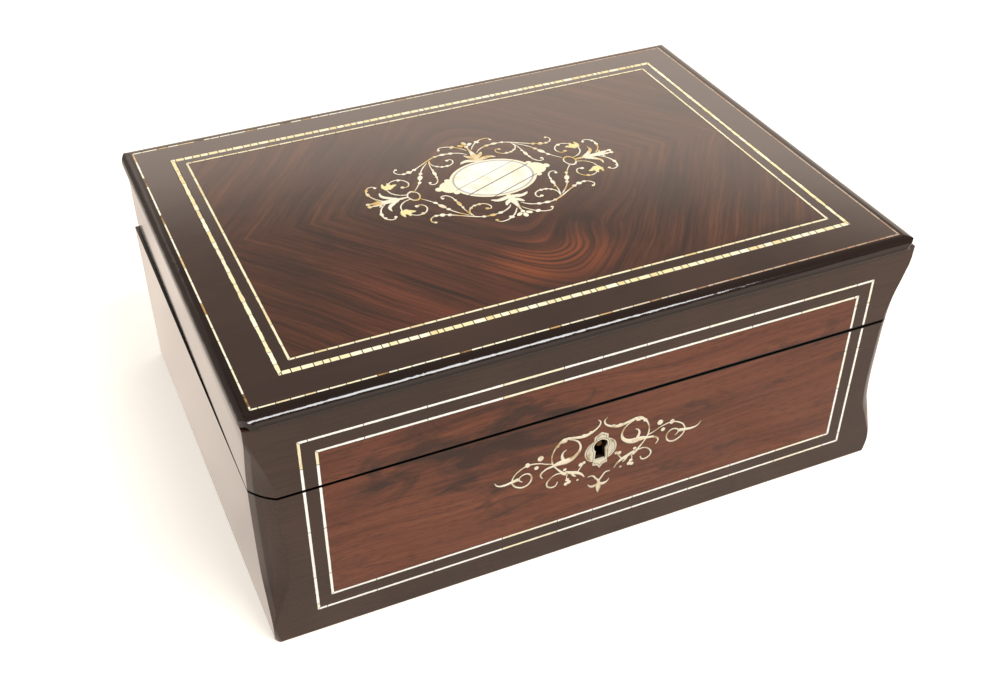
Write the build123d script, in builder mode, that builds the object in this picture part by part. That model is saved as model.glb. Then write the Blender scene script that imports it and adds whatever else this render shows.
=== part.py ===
"""Inlaid wooden music box: a lidded casket with a lever-wound cylinder movement inside.

Millimetres. X runs along the front, Y towards the back, Z up. The origin is the centre of the
box's underside. Each physical piece is one STEP file in parts/.
"""

import math
import os

from build123d import *

os.makedirs("parts", exist_ok=True)

# ---------------------------------------------------------------- driving dimensions
length = 298.2  # over the lid's edge moulding, along X
depth = 218.0  # over the lid's edge moulding, along Y
height = 122.0
overhang_x = 0.5  # how far the edge moulding stands proud of the ends
overhang_y = 1.0  # and of the front and back
wall = 11.0
veneer = 1.0
seam_z = 80.6  # where the lid parts from the base
joint_gap = 0.1  # clearance where the two rims meet
seam_reveal = 1.2  # height of the dark line seen from outside
seam_reveal_depth = 3.0

half_l = length / 2
half_d = depth / 2
body_x = half_l - overhang_x
body_y = half_d - overhang_y
inner_x = body_x - wall
inner_y = body_y - wall
carcass_front = -body_y + veneer  # face of the front boards, behind their veneer

moulding_height = 5.0
moulding_round = (5.0, 4.2)  # across and down, from the flat top to the widest point
moulding_corner = 7.5
moulding_inner = (-143.8, 142.6, -103.0, 103.0)  # left, right, front, back edge of its flat top
moulding_z = height - moulding_height
top_board_z = 112.0
top_core_z = height - veneer

bottom_thickness = 8.0

base_top = seam_z - joint_gap / 2
lid_bottom = seam_z + joint_gap / 2
reveal_low = seam_z - seam_reveal / 2
reveal_high = seam_z + seam_reveal / 2

# inlaid lines on the front: outer edge of each line
string_width = 1.3
front_line_x = 129.5
front_line_low = 12.6
front_line_high = 105.8
front_line_step = 6.55

# inlaid lines on the lid's top: outer edge of each line as (left, right, front, back)
edge_line_width = 0.9
wide_line = (-128.7, 128.7, -87.8, 89.3)
wide_line_width = 2.4
inner_line = (-122.4, 122.4, -80.4, 83.8)
inner_line_width = 1.2
marquetry_centre = (3.9, 12.5)
field_sunk = 0.08  # the field is scraped and polished this far below the lines around it
cartouche_sunk = 0.02

# lock and keyhole
keyhole_z = 54.5
lock_half = 21.0
lock_depth = 8.0
lock_low = 44.0
lock_plate = 1.5
lock_plate_x = (-30.0, 30.0)
lock_back = -inner_y  # the lock's back plate is flush with the wall's inner face
lock_front = lock_back - lock_depth
lock_plate_y = (lock_front - 0.8, lock_back)
lock_screw_y = (lock_front + lock_back) / 2
lock_wall = 1.3
bolt_travel = 4.0
strike_x = (-29.0, 29.0)
strike_z = (lid_bottom, lid_bottom + 1.5)
strike_y = (lock_front + 0.6, lock_back - 1.0)
staple_spots = (-8.0, 10.0)  # near face of each staple, along X
staple_thickness = 2.0
staple_low = 71.5
bolt_gap = 0.5

# hinges
hinge_y = body_y - 0.5
hinge_x = 95.0
hinge_length = 46.0
knuckle_radius = 1.5
hinge_pin_radius = 0.7
leaf_thickness = 1.3
leaf_width = 8.0
knuckles = 5

small_screw = (1.1, 2.0, 0.8, 11.0)
hinge_screw_pitch = 16.0
hinge_screw_y = body_y - 5.2
lock_screw_x = 25.5
base_leaf_top = seam_z - 0.2
lid_leaf_bottom = seam_z + 0.2

# movement
bed_screw = (2.0, 4.2, 2.4, 16.0)
bed_screw_spacing = (170.0, 104.0)
comb_screw = (1.6, 2.7, 1.8, 14.0)
bed_x = (-98.0, 103.0)
bed_y = (-62.0, 66.0)
batten_height = 4.0
bed_z = bottom_thickness + batten_height
bed_thickness = 5.0
bed_top = bed_z + bed_thickness
running = 0.05  # radial clearance of an arbor in its bearing

cylinder_centre = (22.0, 47.0)
cylinder_x = (-46.0, 66.0)
cylinder_radius = 21.0
cylinder_wall = 1.5
cylinder_arbor_radius = 2.5

barrel_module = 0.8
barrel_teeth = 60
cylinder_pinion_teeth = 20
barrel_z = 44.0
barrel_distance = barrel_module * (barrel_teeth + cylinder_pinion_teeth) / 2
barrel_drop = cylinder_centre[1] - barrel_z
barrel_centre = (cylinder_centre[0] - math.sqrt(barrel_distance**2 - barrel_drop**2), barrel_z)
barrel_gear_x = (-56.0, -51.0)
barrel_x = (-88.5, barrel_gear_x[0])
barrel_radius = 22.5
barrel_wall = 1.5
winding_arbor_radius = 3.0
winding_arbor_x = (-113.0, -46.8)
ratchet_x = (-92.5, -90.0)
ratchet_teeth = 24
ratchet_tip = 12.0
ratchet_root = 10.2
click_angle = 60.0  # direction from the barrel's arbor to the click's pivot
click_distance = 17.5
click_nose_angle = 95.0
click_gap = 0.2
lever_x = (-113.5, -108.0)
lever_length = 34.0
lever_rest_angle = 60.0
lever_boss_radius = 7.0
lever_half_width = (4.0, 2.2)  # at the boss and at the knob
lever_knob_radius = 4.5

great_module = 0.6
great_teeth = 72
great_x = (67.0, 70.0)
second_pinion_teeth = 12
second_module = 0.5
second_teeth = 60
second_x = (79.0, 81.0)
third_pinion_teeth = 12
worm_wheel_teeth = 30
worm_wheel_x = (85.0, 87.0)
second_angle = 200.0  # direction from the cylinder to the second arbor, in the YZ plane
third_angle = 168.0  # direction from the second arbor to the third


def polar(centre, radius, degrees):
    """A point at that distance and direction from centre, in the YZ plane."""
    angle = math.radians(degrees)
    return (centre[0] + radius * math.cos(angle), centre[1] + radius * math.sin(angle))


second_distance = great_module * (great_teeth + second_pinion_teeth) / 2
second_centre = polar(cylinder_centre, second_distance, second_angle)
third_distance = second_module * (second_teeth + third_pinion_teeth) / 2
third_centre = polar(second_centre, third_distance, third_angle)

worm_pitch = math.pi * second_module
worm_pitch_radius = 2.05
worm_root_radius = 1.5
worm_tip_radius = 2.45
worm_x = sum(worm_wheel_x) / 2
worm_y = third_centre[0] - second_module * worm_wheel_teeth / 2 - worm_pitch_radius
worm_z = third_centre[1]

worm_arbor_radius = 1.0
endless_top = 66.0
fly_radius = 10.0
fly_thickness = 0.8
fly_hub_radius = 2.2
fly_hub_z = (57.0, 62.0)
fly_blade_z = (57.5, 69.0)
frame_top = 54.0
brake_disc_radius = 4.5
brake_disc_z = (55.0, 56.2)
stop_pivot = (100.0, -46.0)
stop_gap = 0.2  # between the brake shoe and the disc when stopped
stop_swing = 12.0
stop_arm_width = 3.0
stop_handle_reach = 24.0
stop_knob_z = 64.0
stop_knob_radius = 3.2

partition_left = (-106.0, -100.0)
partition_right = (108.0, 114.0)
partition_top = 76.0
glass_z = 73.0
glass_thickness = 2.5
ledge = 4.0


# ---------------------------------------------------------------- helpers
def keep(builder, name):
    """Labels a finished piece and writes its STEP file."""
    builder.part.label = name
    export_step(builder.part, f"parts/{name}.step")
    return builder.part


def slab(x, y, z, mode=Mode.ADD):
    """A box between two limits on each axis, inside the part being built."""
    with Locations(((x[0] + x[1]) / 2, (y[0] + y[1]) / 2, (z[0] + z[1]) / 2)):
        Box(x[1] - x[0], y[1] - y[0], z[1] - z[0], mode=mode)


def rod(centre, radius, x, mode=Mode.ADD):
    """A round bar along X between x[0] and x[1], centred on (y, z)."""
    with BuildSketch(Plane.YZ.offset(x[0])) as section:
        with Locations(centre):
            Circle(radius)
    extrude(section.sketch, amount=x[1] - x[0], mode=mode)


def post(x, y, radius, z, mode=Mode.ADD):
    """A round bar along Z between z[0] and z[1]."""
    with BuildSketch(Plane.XY.offset(z[0])) as section:
        with Locations((x, y)):
            Circle(radius)
    extrude(section.sketch, amount=z[1] - z[0], mode=mode)


def screw(x, y, seat_z, size, direction=-1, mode=Mode.ADD):
    """A screw along Z. seat_z is the top of its head, direction the way its shank points.

    size holds the shank's radius, the head's radius and height, and the overall length.
    """
    shank_radius, head_radius, head_height, length_overall = size
    head_end = seat_z + direction * head_height
    tip = seat_z + direction * length_overall
    post(x, y, head_radius, (min(seat_z, head_end), max(seat_z, head_end)), mode)
    post(x, y, shank_radius, (min(head_end, tip), max(head_end, tip)), mode)


def bed_screws_here(mode):
    """The bedplate's four screws, as solids or as their holes."""
    for sign_x in (-1, 1):
        for sign_y in (-1, 1):
            head_top = bed_top + bed_screw[2]
            x = sign_x * bed_screw_spacing[0] / 2
            y = sign_y * bed_screw_spacing[1] / 2
            screw(x, y, head_top, bed_screw, mode=mode)


def hinge_screws_here(seat_z, direction, mode):
    """The three screws of each hinge leaf."""
    for side in (-1, 1):
        for step in (-1, 0, 1):
            x = side * hinge_x + step * hinge_screw_pitch
            screw(x, hinge_screw_y, seat_z, small_screw, direction, mode)


def lock_screws_here(seat_z, direction, mode):
    """The two screws at the ends of the lock's plate."""
    for side in (-1, 1):
        screw(side * lock_screw_x, lock_screw_y, seat_z, small_screw, direction, mode)


def mitred_sides(outer, inner):
    """The four mitred trapezia between two rectangles, each given as (x0, x1, y0, y1)."""
    ox0, ox1, oy0, oy1 = outer
    ix0, ix1, iy0, iy1 = inner
    return {
        "front": [(ox0, oy0), (ox1, oy0), (ix1, iy0), (ix0, iy0)],
        "right": [(ox1, oy0), (ox1, oy1), (ix1, iy1), (ix1, iy0)],
        "back": [(ox1, oy1), (ox0, oy1), (ix0, iy1), (ix1, iy1)],
        "left": [(ox0, oy1), (ox0, oy0), (ix0, iy0), (ix0, iy1)],
    }


def inset(rectangle, amount):
    """The rectangle (left, right, front, back) taken in by the same amount on every side."""
    left, right, front, back = rectangle
    return (left + amount, right - amount, front + amount, back - amount)


def prism(points, z, mode=Mode.ADD):
    """Extrudes a polygon drawn in XY from z[0] to z[1]."""
    with BuildSketch(Plane.XY.offset(z[0])) as section:
        Polygon(*points, align=None)
    extrude(section.sketch, amount=z[1] - z[0], mode=mode)


def gear_outline(teeth, module, tooth_angle, addendum=0.75, dedendum=1.1, thinning=0.16):
    """A closed outline with straight-flanked teeth that lie inside the involute ones.

    tooth_angle is the direction of one tooth's centre, in degrees. thinning is the share of the
    circular pitch that is taken off each tooth as backlash.
    """
    pitch_radius = module * teeth / 2
    base_radius = pitch_radius * math.cos(math.radians(20))
    tip = pitch_radius + addendum * module
    root = pitch_radius - dedendum * module

    def involute(radius):
        pressure = math.acos(min(1.0, base_radius / radius))
        return math.tan(pressure) - pressure

    half_at_pitch = (0.5 - thinning) * math.pi / teeth
    half_tip = half_at_pitch + involute(pitch_radius) - involute(tip)
    half_root = half_at_pitch + involute(pitch_radius) - involute(max(root, base_radius))
    points = []
    for tooth in range(teeth):
        centre = math.radians(tooth_angle) + tooth * 2 * math.pi / teeth
        for radius, offset in ((root, -half_root), (tip, -half_tip), (tip, half_tip), (root, half_root)):
            points.append((radius * math.cos(centre + offset), radius * math.sin(centre + offset)))
    return points


def gear_disc(size, centre, x, tooth_angle, bore, holes=None, addendum=0.75):
    """A toothed disc on an X axis, inside the part being built.

    size is (teeth, module). holes is the round openings' (radius, count, circle radius).
    """
    teeth, module = size
    with BuildSketch(Plane.YZ.offset(x[0])) as section:
        with Locations(centre):
            Polygon(*gear_outline(teeth, module, tooth_angle, addendum), align=None)
            Circle(bore, mode=Mode.SUBTRACT)
        if holes:
            with Locations(centre):
                with PolarLocations(holes[2], holes[1]):
                    Circle(holes[0], mode=Mode.SUBTRACT)
    extrude(section.sketch, amount=x[1] - x[0])


# ---------------------------------------------------------------- shared cutting shapes
# the hollowed front corners: depth of each along the corner's diagonal, against height
scoop_profile = [(0.7, moulding_z), (0.85, 112.0), (1.15, 109.0), (1.75, 106.0), (2.65, 101.3)]
scoop_profile += [(3.3, 98.2), (4.6, 90.6), (5.5, 80.6), (5.9, 66.0), (6.05, 50.0), (5.95, 42.0)]
scoop_profile += [(5.6, 35.0), (5.15, 30.5), (4.5, 27.4), (3.8, 24.6), (3.2, 21.8), (2.6, 19.0)]
scoop_profile += [(1.8, 15.8), (1.05, 12.0), (0.8, 6.0), (1.7, 0.0), (2.1, -1.5)]
scoop_at_seam = 5.5
scoop_radius = 30.0  # from the square corner in to the axis that the hollow is turned about
scoop_arc = 44.0
scoop_clear = 6.0

with BuildPart() as corner_scoops:
    for side, corner_angle in ((-1, 225), (1, 315)):
        pivot_x = side * (body_x - scoop_radius / math.sqrt(2))
        pivot_y = -body_y + scoop_radius / math.sqrt(2)
        start = math.radians(corner_angle - scoop_arc / 2)
        out_x = math.cos(start)
        out_y = math.sin(start)
        start_plane = Plane(
            origin=(pivot_x + scoop_radius * out_x, pivot_y + scoop_radius * out_y, 0),
            x_dir=(-out_x, -out_y, 0),
            z_dir=(-out_y, out_x, 0),
        )
        with BuildSketch(start_plane):
            with BuildLine():
                hollow = Spline(*scoop_profile, tangents=[(0.03, -1), (0.3, -1)])
                Polyline(
                    hollow @ 1,
                    (-scoop_clear, scoop_profile[-1][1]),
                    (-scoop_clear, scoop_profile[0][1]),
                    hollow @ 0,
                )
            make_face()
        revolve(axis=Axis((pivot_x, pivot_y, 0), (0, 0, 1)), revolution_arc=scoop_arc)

# the lid's ends are planed thinner towards the back, so the base stands proud of them there
lid_end_taper = 1.7
with BuildPart() as lid_end_tapers:
    for side in (-1, 1):
        prism(
            [
                (side * (body_x + 2), -inner_y),
                (side * body_x, -inner_y),
                (side * (body_x - lid_end_taper), body_y),
                (side * (body_x - lid_end_taper), body_y + 2),
                (side * (body_x + 2), body_y + 2),
            ],
            (lid_bottom, moulding_z),
        )

seam_corner_cut = (scoop_at_seam + seam_reveal_depth) * math.sqrt(2) - 2 * seam_reveal_depth
reveal_x = body_x - seam_reveal_depth
reveal_y = body_y - seam_reveal_depth
with BuildPart() as seam_reveal_ring:
    with BuildSketch(Plane.XY.offset(reveal_low)):
        Rectangle(length + 20, depth + 20)
        Polygon(
            (-reveal_x, -reveal_y + seam_corner_cut),
            (-reveal_x + seam_corner_cut, -reveal_y),
            (reveal_x - seam_corner_cut, -reveal_y),
            (reveal_x, -reveal_y + seam_corner_cut),
            (reveal_x, reveal_y),
            (-reveal_x, reveal_y),
            align=None,
            mode=Mode.SUBTRACT,
        )
    extrude(amount=seam_reveal)

with BuildPart() as hinge_recesses:
    for side in (-1, 1):
        span = (side * hinge_x - hinge_length / 2 - 0.3, side * hinge_x + hinge_length / 2 + 0.3)
        rod((hinge_y, seam_z), knuckle_radius + 0.35, span)
        recess_z = (seam_z - leaf_thickness - 0.25, seam_z + leaf_thickness + 0.25)
        slab(span, (body_y - leaf_width - 0.2, body_y + 1), recess_z)


def keyhole_sketch(grow=0.0):
    """Round top and flared slot of a keyhole, centred on the keyhole height; local y is Z."""
    with Locations((0, 2.4)):
        Circle(3.4 + grow)
    half_top = 2.2 + grow
    half_foot = 2.75 + grow
    foot = -5.4 - grow
    Polygon((-half_top, 2.4), (half_top, 2.4), (half_foot, foot), (-half_foot, foot), align=None)


def escutcheon_sketch():
    """Outline of the keyhole plate: two side lobes, a gabled head and a pointed foot."""
    with Locations((-1.7, 0), (1.7, 0)):
        Circle(5.9)
    Rectangle(6.7, 15.4)
    head = [(3.35, 7.0), (3.2, 8.2), (0, 10.1), (-3.2, 8.2), (-3.35, 7.0)]
    Polygon(*head, align=None)
    foot = [(3.5, -6.4), (3.5, -7.9), (1.3, -8.4), (0, -10.4), (-1.3, -8.4), (-3.5, -7.9), (-3.5, -6.4)]
    Polygon(*foot, align=None)


def cartouche_sketch():
    """Oval plaque with a lobed ear at each end, centred on the marquetry."""
    Ellipse(20.8, 16.5)
    for side in (-1, 1):
        with Locations((side * 21.6, 0)):
            Ellipse(4.7, 5.0)
        with Locations((side * 26.9, 0)):
            Circle(1.7)
        with Locations((side * 20.5, 5.7), (side * 20.5, -5.7)):
            Circle(1.4)


def front_face(offset=0.0):
    """Sketch plane on the front, its normal pointing out of the box."""
    return Plane(origin=(0, -body_y + offset, 0), x_dir=(1, 0, 0), z_dir=(0, -1, 0))


# ---------------------------------------------------------------- base carcass
carcass_outer = (-body_x, body_x, carcass_front, body_y)
carcass_inner = (-inner_x, inner_x, -inner_y, inner_y)
carcass_sides = mitred_sides(carcass_outer, carcass_inner)

with BuildPart() as base_front:
    prism(carcass_sides["front"], (0, base_top))
    add(corner_scoops.part, mode=Mode.SUBTRACT)
    add(seam_reveal_ring.part, mode=Mode.SUBTRACT)
    slab((-lock_half, lock_half), (lock_front, lock_back), (lock_low, base_top), mode=Mode.SUBTRACT)
    slab(lock_plate_x, lock_plate_y, (base_top - lock_plate, base_top), mode=Mode.SUBTRACT)
    lock_screws_here(base_top, -1, Mode.SUBTRACT)
    with BuildSketch(front_face()):
        with Locations((0, keyhole_z)):
            keyhole_sketch(grow=0.2)
    extrude(amount=-5, mode=Mode.SUBTRACT)
keep(base_front, "base_front_wall")

with BuildPart() as base_back:
    prism(carcass_sides["back"], (0, base_top))
    add(seam_reveal_ring.part, mode=Mode.SUBTRACT)
    add(hinge_recesses.part, mode=Mode.SUBTRACT)
    hinge_screws_here(base_leaf_top, -1, Mode.SUBTRACT)
    fillet(base_back.edges().filter_by(Axis.X).group_by(Axis.Z)[0].sort_by(Axis.Y)[-1], 1.4)
keep(base_back, "base_back_wall")

for side_name in ("left", "right"):
    with BuildPart() as base_side:
        prism(carcass_sides[side_name], (0, base_top))
        bottom_edges = base_side.edges().filter_by(Axis.Y).group_by(Axis.Z)[0]
        outer_edge = bottom_edges.sort_by(Axis.X)[0 if side_name == "left" else -1]
        fillet(outer_edge, 1.4)
        add(corner_scoops.part, mode=Mode.SUBTRACT)
        add(seam_reveal_ring.part, mode=Mode.SUBTRACT)
    keep(base_side, f"base_{side_name}_wall")

with BuildPart() as bottom_board:
    slab((-inner_x, inner_x), (-inner_y, inner_y), (0, bottom_thickness))
    bed_screws_here(Mode.SUBTRACT)
keep(bottom_board, "bottom_board")


# ---------------------------------------------------------------- inlaid front
def front_rectangle(step):
    """(half width, low z, high z) of the front's line number 0 or 1, at its outer edge."""
    taken_in = step * front_line_step
    return (front_line_x - taken_in, front_line_low + taken_in, front_line_high - taken_in)


def line_channel(step):
    """Sketches the closed rectangular line as a ring on the front plane."""
    half, low, high = front_rectangle(step)
    middle = (low + high) / 2
    with Locations((0, middle)):
        Rectangle(2 * half, high - low)
        Rectangle(2 * (half - string_width), high - low - 2 * string_width, mode=Mode.SUBTRACT)


inner_half, inner_low, inner_high = front_rectangle(1)
front_levels = {
    "base": (0.0, reveal_low),
    "lid": (reveal_high, moulding_z),
}
for part_name, (low_z, high_z) in front_levels.items():
    with BuildPart() as band:
        slab((-body_x, body_x), (-body_y, carcass_front), (low_z, high_z))
        for step in (0, 1):
            with BuildSketch(front_face()):
                line_channel(step)
            extrude(amount=-veneer, mode=Mode.SUBTRACT)
        panel_x = (-inner_half, inner_half)
        slab(panel_x, (-body_y, carcass_front), (inner_low, inner_high), mode=Mode.SUBTRACT)
        add(corner_scoops.part, mode=Mode.SUBTRACT)
        if part_name == "base":
            fillet(band.edges().filter_by(Axis.X).group_by(Axis.Z)[0].sort_by(Axis.Y)[0], 0.9)
    keep(band, f"{part_name}_front_banding")

    with BuildPart() as lines:
        for step in (0, 1):
            half, low, high = front_rectangle(step)
            ends = mitred_sides(
                (-half, half, low, high),
                (-half + string_width, half - string_width, low + string_width, high - string_width),
            )
            for corner_points in ends.values():
                with BuildSketch(front_face()):
                    Polygon(*corner_points, align=None)
                extrude(amount=-veneer)
        slab((-half_l, half_l), (-half_d, half_d), (low_z, high_z), mode=Mode.INTERSECT)
    keep(lines, f"{part_name}_front_lines")

    panel_half = inner_half - string_width
    panel_low = max(inner_low + string_width, low_z)
    panel_high = min(inner_high - string_width, high_z)
    with BuildPart() as panel:
        slab((-panel_half, panel_half), (-body_y, carcass_front), (panel_low, panel_high))
        if part_name == "base":
            with BuildSketch(front_face()):
                with Locations((0, keyhole_z)):
                    escutcheon_sketch()
            extrude(amount=-veneer, mode=Mode.SUBTRACT)
    keep(panel, f"{part_name}_front_panel")

with BuildPart() as escutcheon:
    with BuildSketch(front_face()):
        with Locations((0, keyhole_z)):
            escutcheon_sketch()
    extrude(amount=-veneer)
    with BuildSketch(front_face()):
        with Locations((0, keyhole_z)):
            keyhole_sketch()
    extrude(amount=-veneer, mode=Mode.SUBTRACT)
keep(escutcheon, "keyhole_escutcheon")

# ---------------------------------------------------------------- lid carcass
with BuildPart() as lid_front:
    prism(carcass_sides["front"], (lid_bottom, top_board_z))
    add(corner_scoops.part, mode=Mode.SUBTRACT)
    add(seam_reveal_ring.part, mode=Mode.SUBTRACT)
    slab(strike_x, strike_y, strike_z, mode=Mode.SUBTRACT)
    lock_screws_here(lid_bottom, 1, Mode.SUBTRACT)
keep(lid_front, "lid_front_wall")

with BuildPart() as lid_back:
    prism(carcass_sides["back"], (lid_bottom, top_board_z))
    add(lid_end_tapers.part, mode=Mode.SUBTRACT)
    add(seam_reveal_ring.part, mode=Mode.SUBTRACT)
    add(hinge_recesses.part, mode=Mode.SUBTRACT)
    hinge_screws_here(lid_leaf_bottom, 1, Mode.SUBTRACT)
keep(lid_back, "lid_back_wall")

for side_name in ("left", "right"):
    with BuildPart() as lid_side:
        prism(carcass_sides[side_name], (lid_bottom, top_board_z))
        add(lid_end_tapers.part, mode=Mode.SUBTRACT)
        add(corner_scoops.part, mode=Mode.SUBTRACT)
        add(seam_reveal_ring.part, mode=Mode.SUBTRACT)
    keep(lid_side, f"lid_{side_name}_wall")

moulding_outer = (-half_l, half_l, -half_d, half_d)
with BuildPart() as top_board:
    slab((-body_x, body_x), (carcass_front, body_y), (top_board_z, moulding_z))
    add(lid_end_tapers.part, mode=Mode.SUBTRACT)
    add(corner_scoops.part, mode=Mode.SUBTRACT)
    slab(moulding_inner[:2], moulding_inner[2:], (moulding_z, top_core_z))
keep(top_board, "lid_top_board")


def moulded_slab(half_width, run, plane):
    """A slab whose two long edges have the nosing's round section."""
    across, down = moulding_round
    widest_z = height - down
    under = widest_z - moulding_z
    with BuildPart() as moulded:
        with BuildSketch(plane) as section:
            with Locations((0, widest_z)):
                Rectangle(2 * (half_width - across), 2 * down)
            for side in (-1, 1):
                with Locations((side * (half_width - across), widest_z)):
                    Ellipse(across, down)
            with Locations((0, widest_z - down)):
                Rectangle(2 * half_width, 2 * down, mode=Mode.SUBTRACT)
            with Locations((0, widest_z - under / 2)):
                Rectangle(2 * (half_width - under), under)
            for side in (-1, 1):
                with Locations((side * (half_width - under), widest_z)):
                    Circle(under)
        extrude(section.sketch, amount=run, both=True)
    return moulded.part


with BuildPart() as moulding_block:
    slab((-half_l, half_l), (-half_d, half_d), (moulding_z, height))
    fillet(moulding_block.edges().filter_by(Axis.Z), moulding_corner)
    add(moulded_slab(half_d, half_l + 1, Plane.YZ), mode=Mode.INTERSECT)
    add(moulded_slab(half_l, half_d + 1, Plane.XZ), mode=Mode.INTERSECT)
with BuildPart() as edge_moulding:
    for points in mitred_sides(moulding_outer, moulding_inner).values():
        prism(points, (moulding_z, height))
    add(moulding_block.part, mode=Mode.INTERSECT)
keep(edge_moulding, "lid_edge_moulding")

# ---------------------------------------------------------------- lid top veneers and lines
top_level = (top_core_z, height)


def ring_piece(outer, width, name):
    """Four mitred strips laid flat in the lid's top, written as one node."""
    with BuildPart() as strips:
        for side_points in mitred_sides(outer, inset(outer, width)).values():
            prism(side_points, top_level)
    return keep(strips, name)


ring_piece(moulding_inner, edge_line_width, "lid_edge_line")
ring_piece(wide_line, wide_line_width, "lid_wide_line")
ring_piece(inner_line, inner_line_width, "lid_inner_line")

band_edges = [
    (inset(moulding_inner, edge_line_width), wide_line),
    (inset(wide_line, wide_line_width), inner_line),
]
with BuildPart() as bandings:
    for outer, inner in band_edges:
        for side_points in mitred_sides(outer, inner).values():
            prism(side_points, top_level)
keep(bandings, "lid_bandings")

field_left, field_right, field_front, field_back = inset(inner_line, inner_line_width)
with BuildPart() as quarters:  # four leaves, glued edge to edge into one sheet
    slab((field_left, field_right), (field_front, field_back), (top_core_z, height - field_sunk))
    with BuildSketch(Plane.XY.offset(top_core_z)):
        with Locations(marquetry_centre):
            cartouche_sketch()
    extrude(amount=veneer, mode=Mode.SUBTRACT)
keep(quarters, "lid_quartered_veneer")

with BuildPart() as cartouche:
    with BuildSketch(Plane.XY.offset(top_core_z)):
        with Locations(marquetry_centre):
            cartouche_sketch()
    extrude(amount=veneer - cartouche_sunk)
keep(cartouche, "lid_cartouche")

# ---------------------------------------------------------------- hinges
knuckle_pitch = hinge_length / knuckles
knuckle_gap = 0.2
axis_yz = (hinge_y, seam_z)
leaf_levels = {
    "base": (base_leaf_top - leaf_thickness, base_leaf_top),
    "lid": (lid_leaf_bottom, lid_leaf_bottom + leaf_thickness),
}
for owner, first in (("base", 0), ("lid", 1)):
    leaf_z = leaf_levels[owner]
    with BuildPart() as leaves:
        for side in (-1, 1):
            start_x = side * hinge_x - hinge_length / 2
            full = (start_x, start_x + hinge_length)
            slab(full, (body_y - leaf_width, hinge_y), leaf_z)
            rod(axis_yz, knuckle_radius + knuckle_gap, full, mode=Mode.SUBTRACT)
            for number in range(first, knuckles, 2):
                knuckle_x = start_x + number * knuckle_pitch
                ends = (knuckle_x + knuckle_gap / 2, knuckle_x + knuckle_pitch - knuckle_gap / 2)
                rod(axis_yz, knuckle_radius, ends)
                slab(ends, (hinge_y - knuckle_radius - 0.4, hinge_y - 1.0), leaf_z)
            rod(axis_yz, hinge_pin_radius + running, full, mode=Mode.SUBTRACT)
        if owner == "base":
            hinge_screws_here(base_leaf_top, -1, Mode.SUBTRACT)
        else:
            hinge_screws_here(lid_leaf_bottom, 1, Mode.SUBTRACT)
    keep(leaves, f"hinge_{owner}_leaves")

with BuildPart() as pins:
    for side in (-1, 1):
        pin_half = hinge_length / 2 + 0.2
        rod(axis_yz, hinge_pin_radius, (side * hinge_x - pin_half, side * hinge_x + pin_half))
keep(pins, "hinge_pins")

with BuildPart() as base_screws:
    hinge_screws_here(base_leaf_top, -1, Mode.ADD)
    lock_screws_here(base_top, -1, Mode.ADD)
keep(base_screws, "base_brass_screws")

with BuildPart() as lid_screws:
    hinge_screws_here(lid_leaf_bottom, 1, Mode.ADD)
    lock_screws_here(lid_bottom, 1, Mode.ADD)
keep(lid_screws, "lid_brass_screws")

# ---------------------------------------------------------------- lock
staple_y = (lock_screw_y - 1.9, lock_screw_y + 1.9)
drill_pin_z = keyhole_z + 2.4
lock_top = base_top - lock_plate

with BuildPart() as lock_body:
    slab((-lock_half, lock_half), (lock_front, lock_back), (lock_low, lock_top))
    slab(
        (-lock_half + lock_wall, lock_half - lock_wall),
        (lock_front + lock_wall, lock_back - lock_wall),
        (lock_low + lock_wall, lock_top),
        mode=Mode.SUBTRACT,
    )
    slab(lock_plate_x, lock_plate_y, (lock_top, base_top))
    for near in staple_spots:
        slab(
            (near - 0.8, near + staple_thickness + 0.8),
            (staple_y[0] - 0.7, staple_y[1] + 0.7),
            (lock_top, base_top),
            mode=Mode.SUBTRACT,
        )
    with BuildSketch(front_face(body_y + lock_front)):
        with Locations((0, keyhole_z)):
            keyhole_sketch()
    extrude(amount=-lock_wall, mode=Mode.SUBTRACT)
    lock_screws_here(base_top, -1, Mode.SUBTRACT)
    pin_foot = (0, lock_back - lock_wall, drill_pin_z)
    with BuildSketch(Plane(origin=pin_foot, x_dir=(1, 0, 0), z_dir=(0, -1, 0))):
        Circle(1.3)
    extrude(amount=lock_depth - lock_wall + 1.4)
keep(lock_body, "lock_body")

bolt_y = (lock_screw_y - 1.0, lock_screw_y + 1.0)
bolt_bar_x = (-17.5, 12.0)
bolt_bar_z = (64.0, 69.5)
bolt_talon_x = (-4.0, 2.0)  # the lug that the key's bit pushes
finger_z = (73.6, 75.4)
with BuildPart() as lock_bolt:
    slab(bolt_bar_x, bolt_y, bolt_bar_z)
    slab(bolt_talon_x, bolt_y, (bolt_bar_z[0] - 3.5, bolt_bar_z[0]))
    for near in staple_spots:
        tip = near - bolt_gap
        slab((tip - 9, tip - 6), bolt_y, (bolt_bar_z[1], finger_z[1]))
        slab((tip - 6, tip), bolt_y, finger_z)
keep(lock_bolt, "lock_bolt")

with BuildPart() as strike_plate:
    slab(strike_x, strike_y, strike_z)
    lock_screws_here(lid_bottom, 1, Mode.SUBTRACT)
    for near in staple_spots:
        slab((near, near + staple_thickness), staple_y, (staple_low, lid_bottom))
        slab(
            (near, near + staple_thickness),
            (bolt_y[0] - 0.4, bolt_y[1] + 0.4),
            (finger_z[0] - 0.6, finger_z[1] + 0.6),
            mode=Mode.SUBTRACT,
        )
keep(strike_plate, "lock_strike_plate")

# ---------------------------------------------------------------- partitions, glass and bed
with BuildPart() as left_board:
    slab(partition_left, (-inner_y, inner_y), (bottom_thickness, partition_top))
    rod(barrel_centre, 4.5, partition_left, mode=Mode.SUBTRACT)
keep(left_board, "left_partition")

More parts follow.
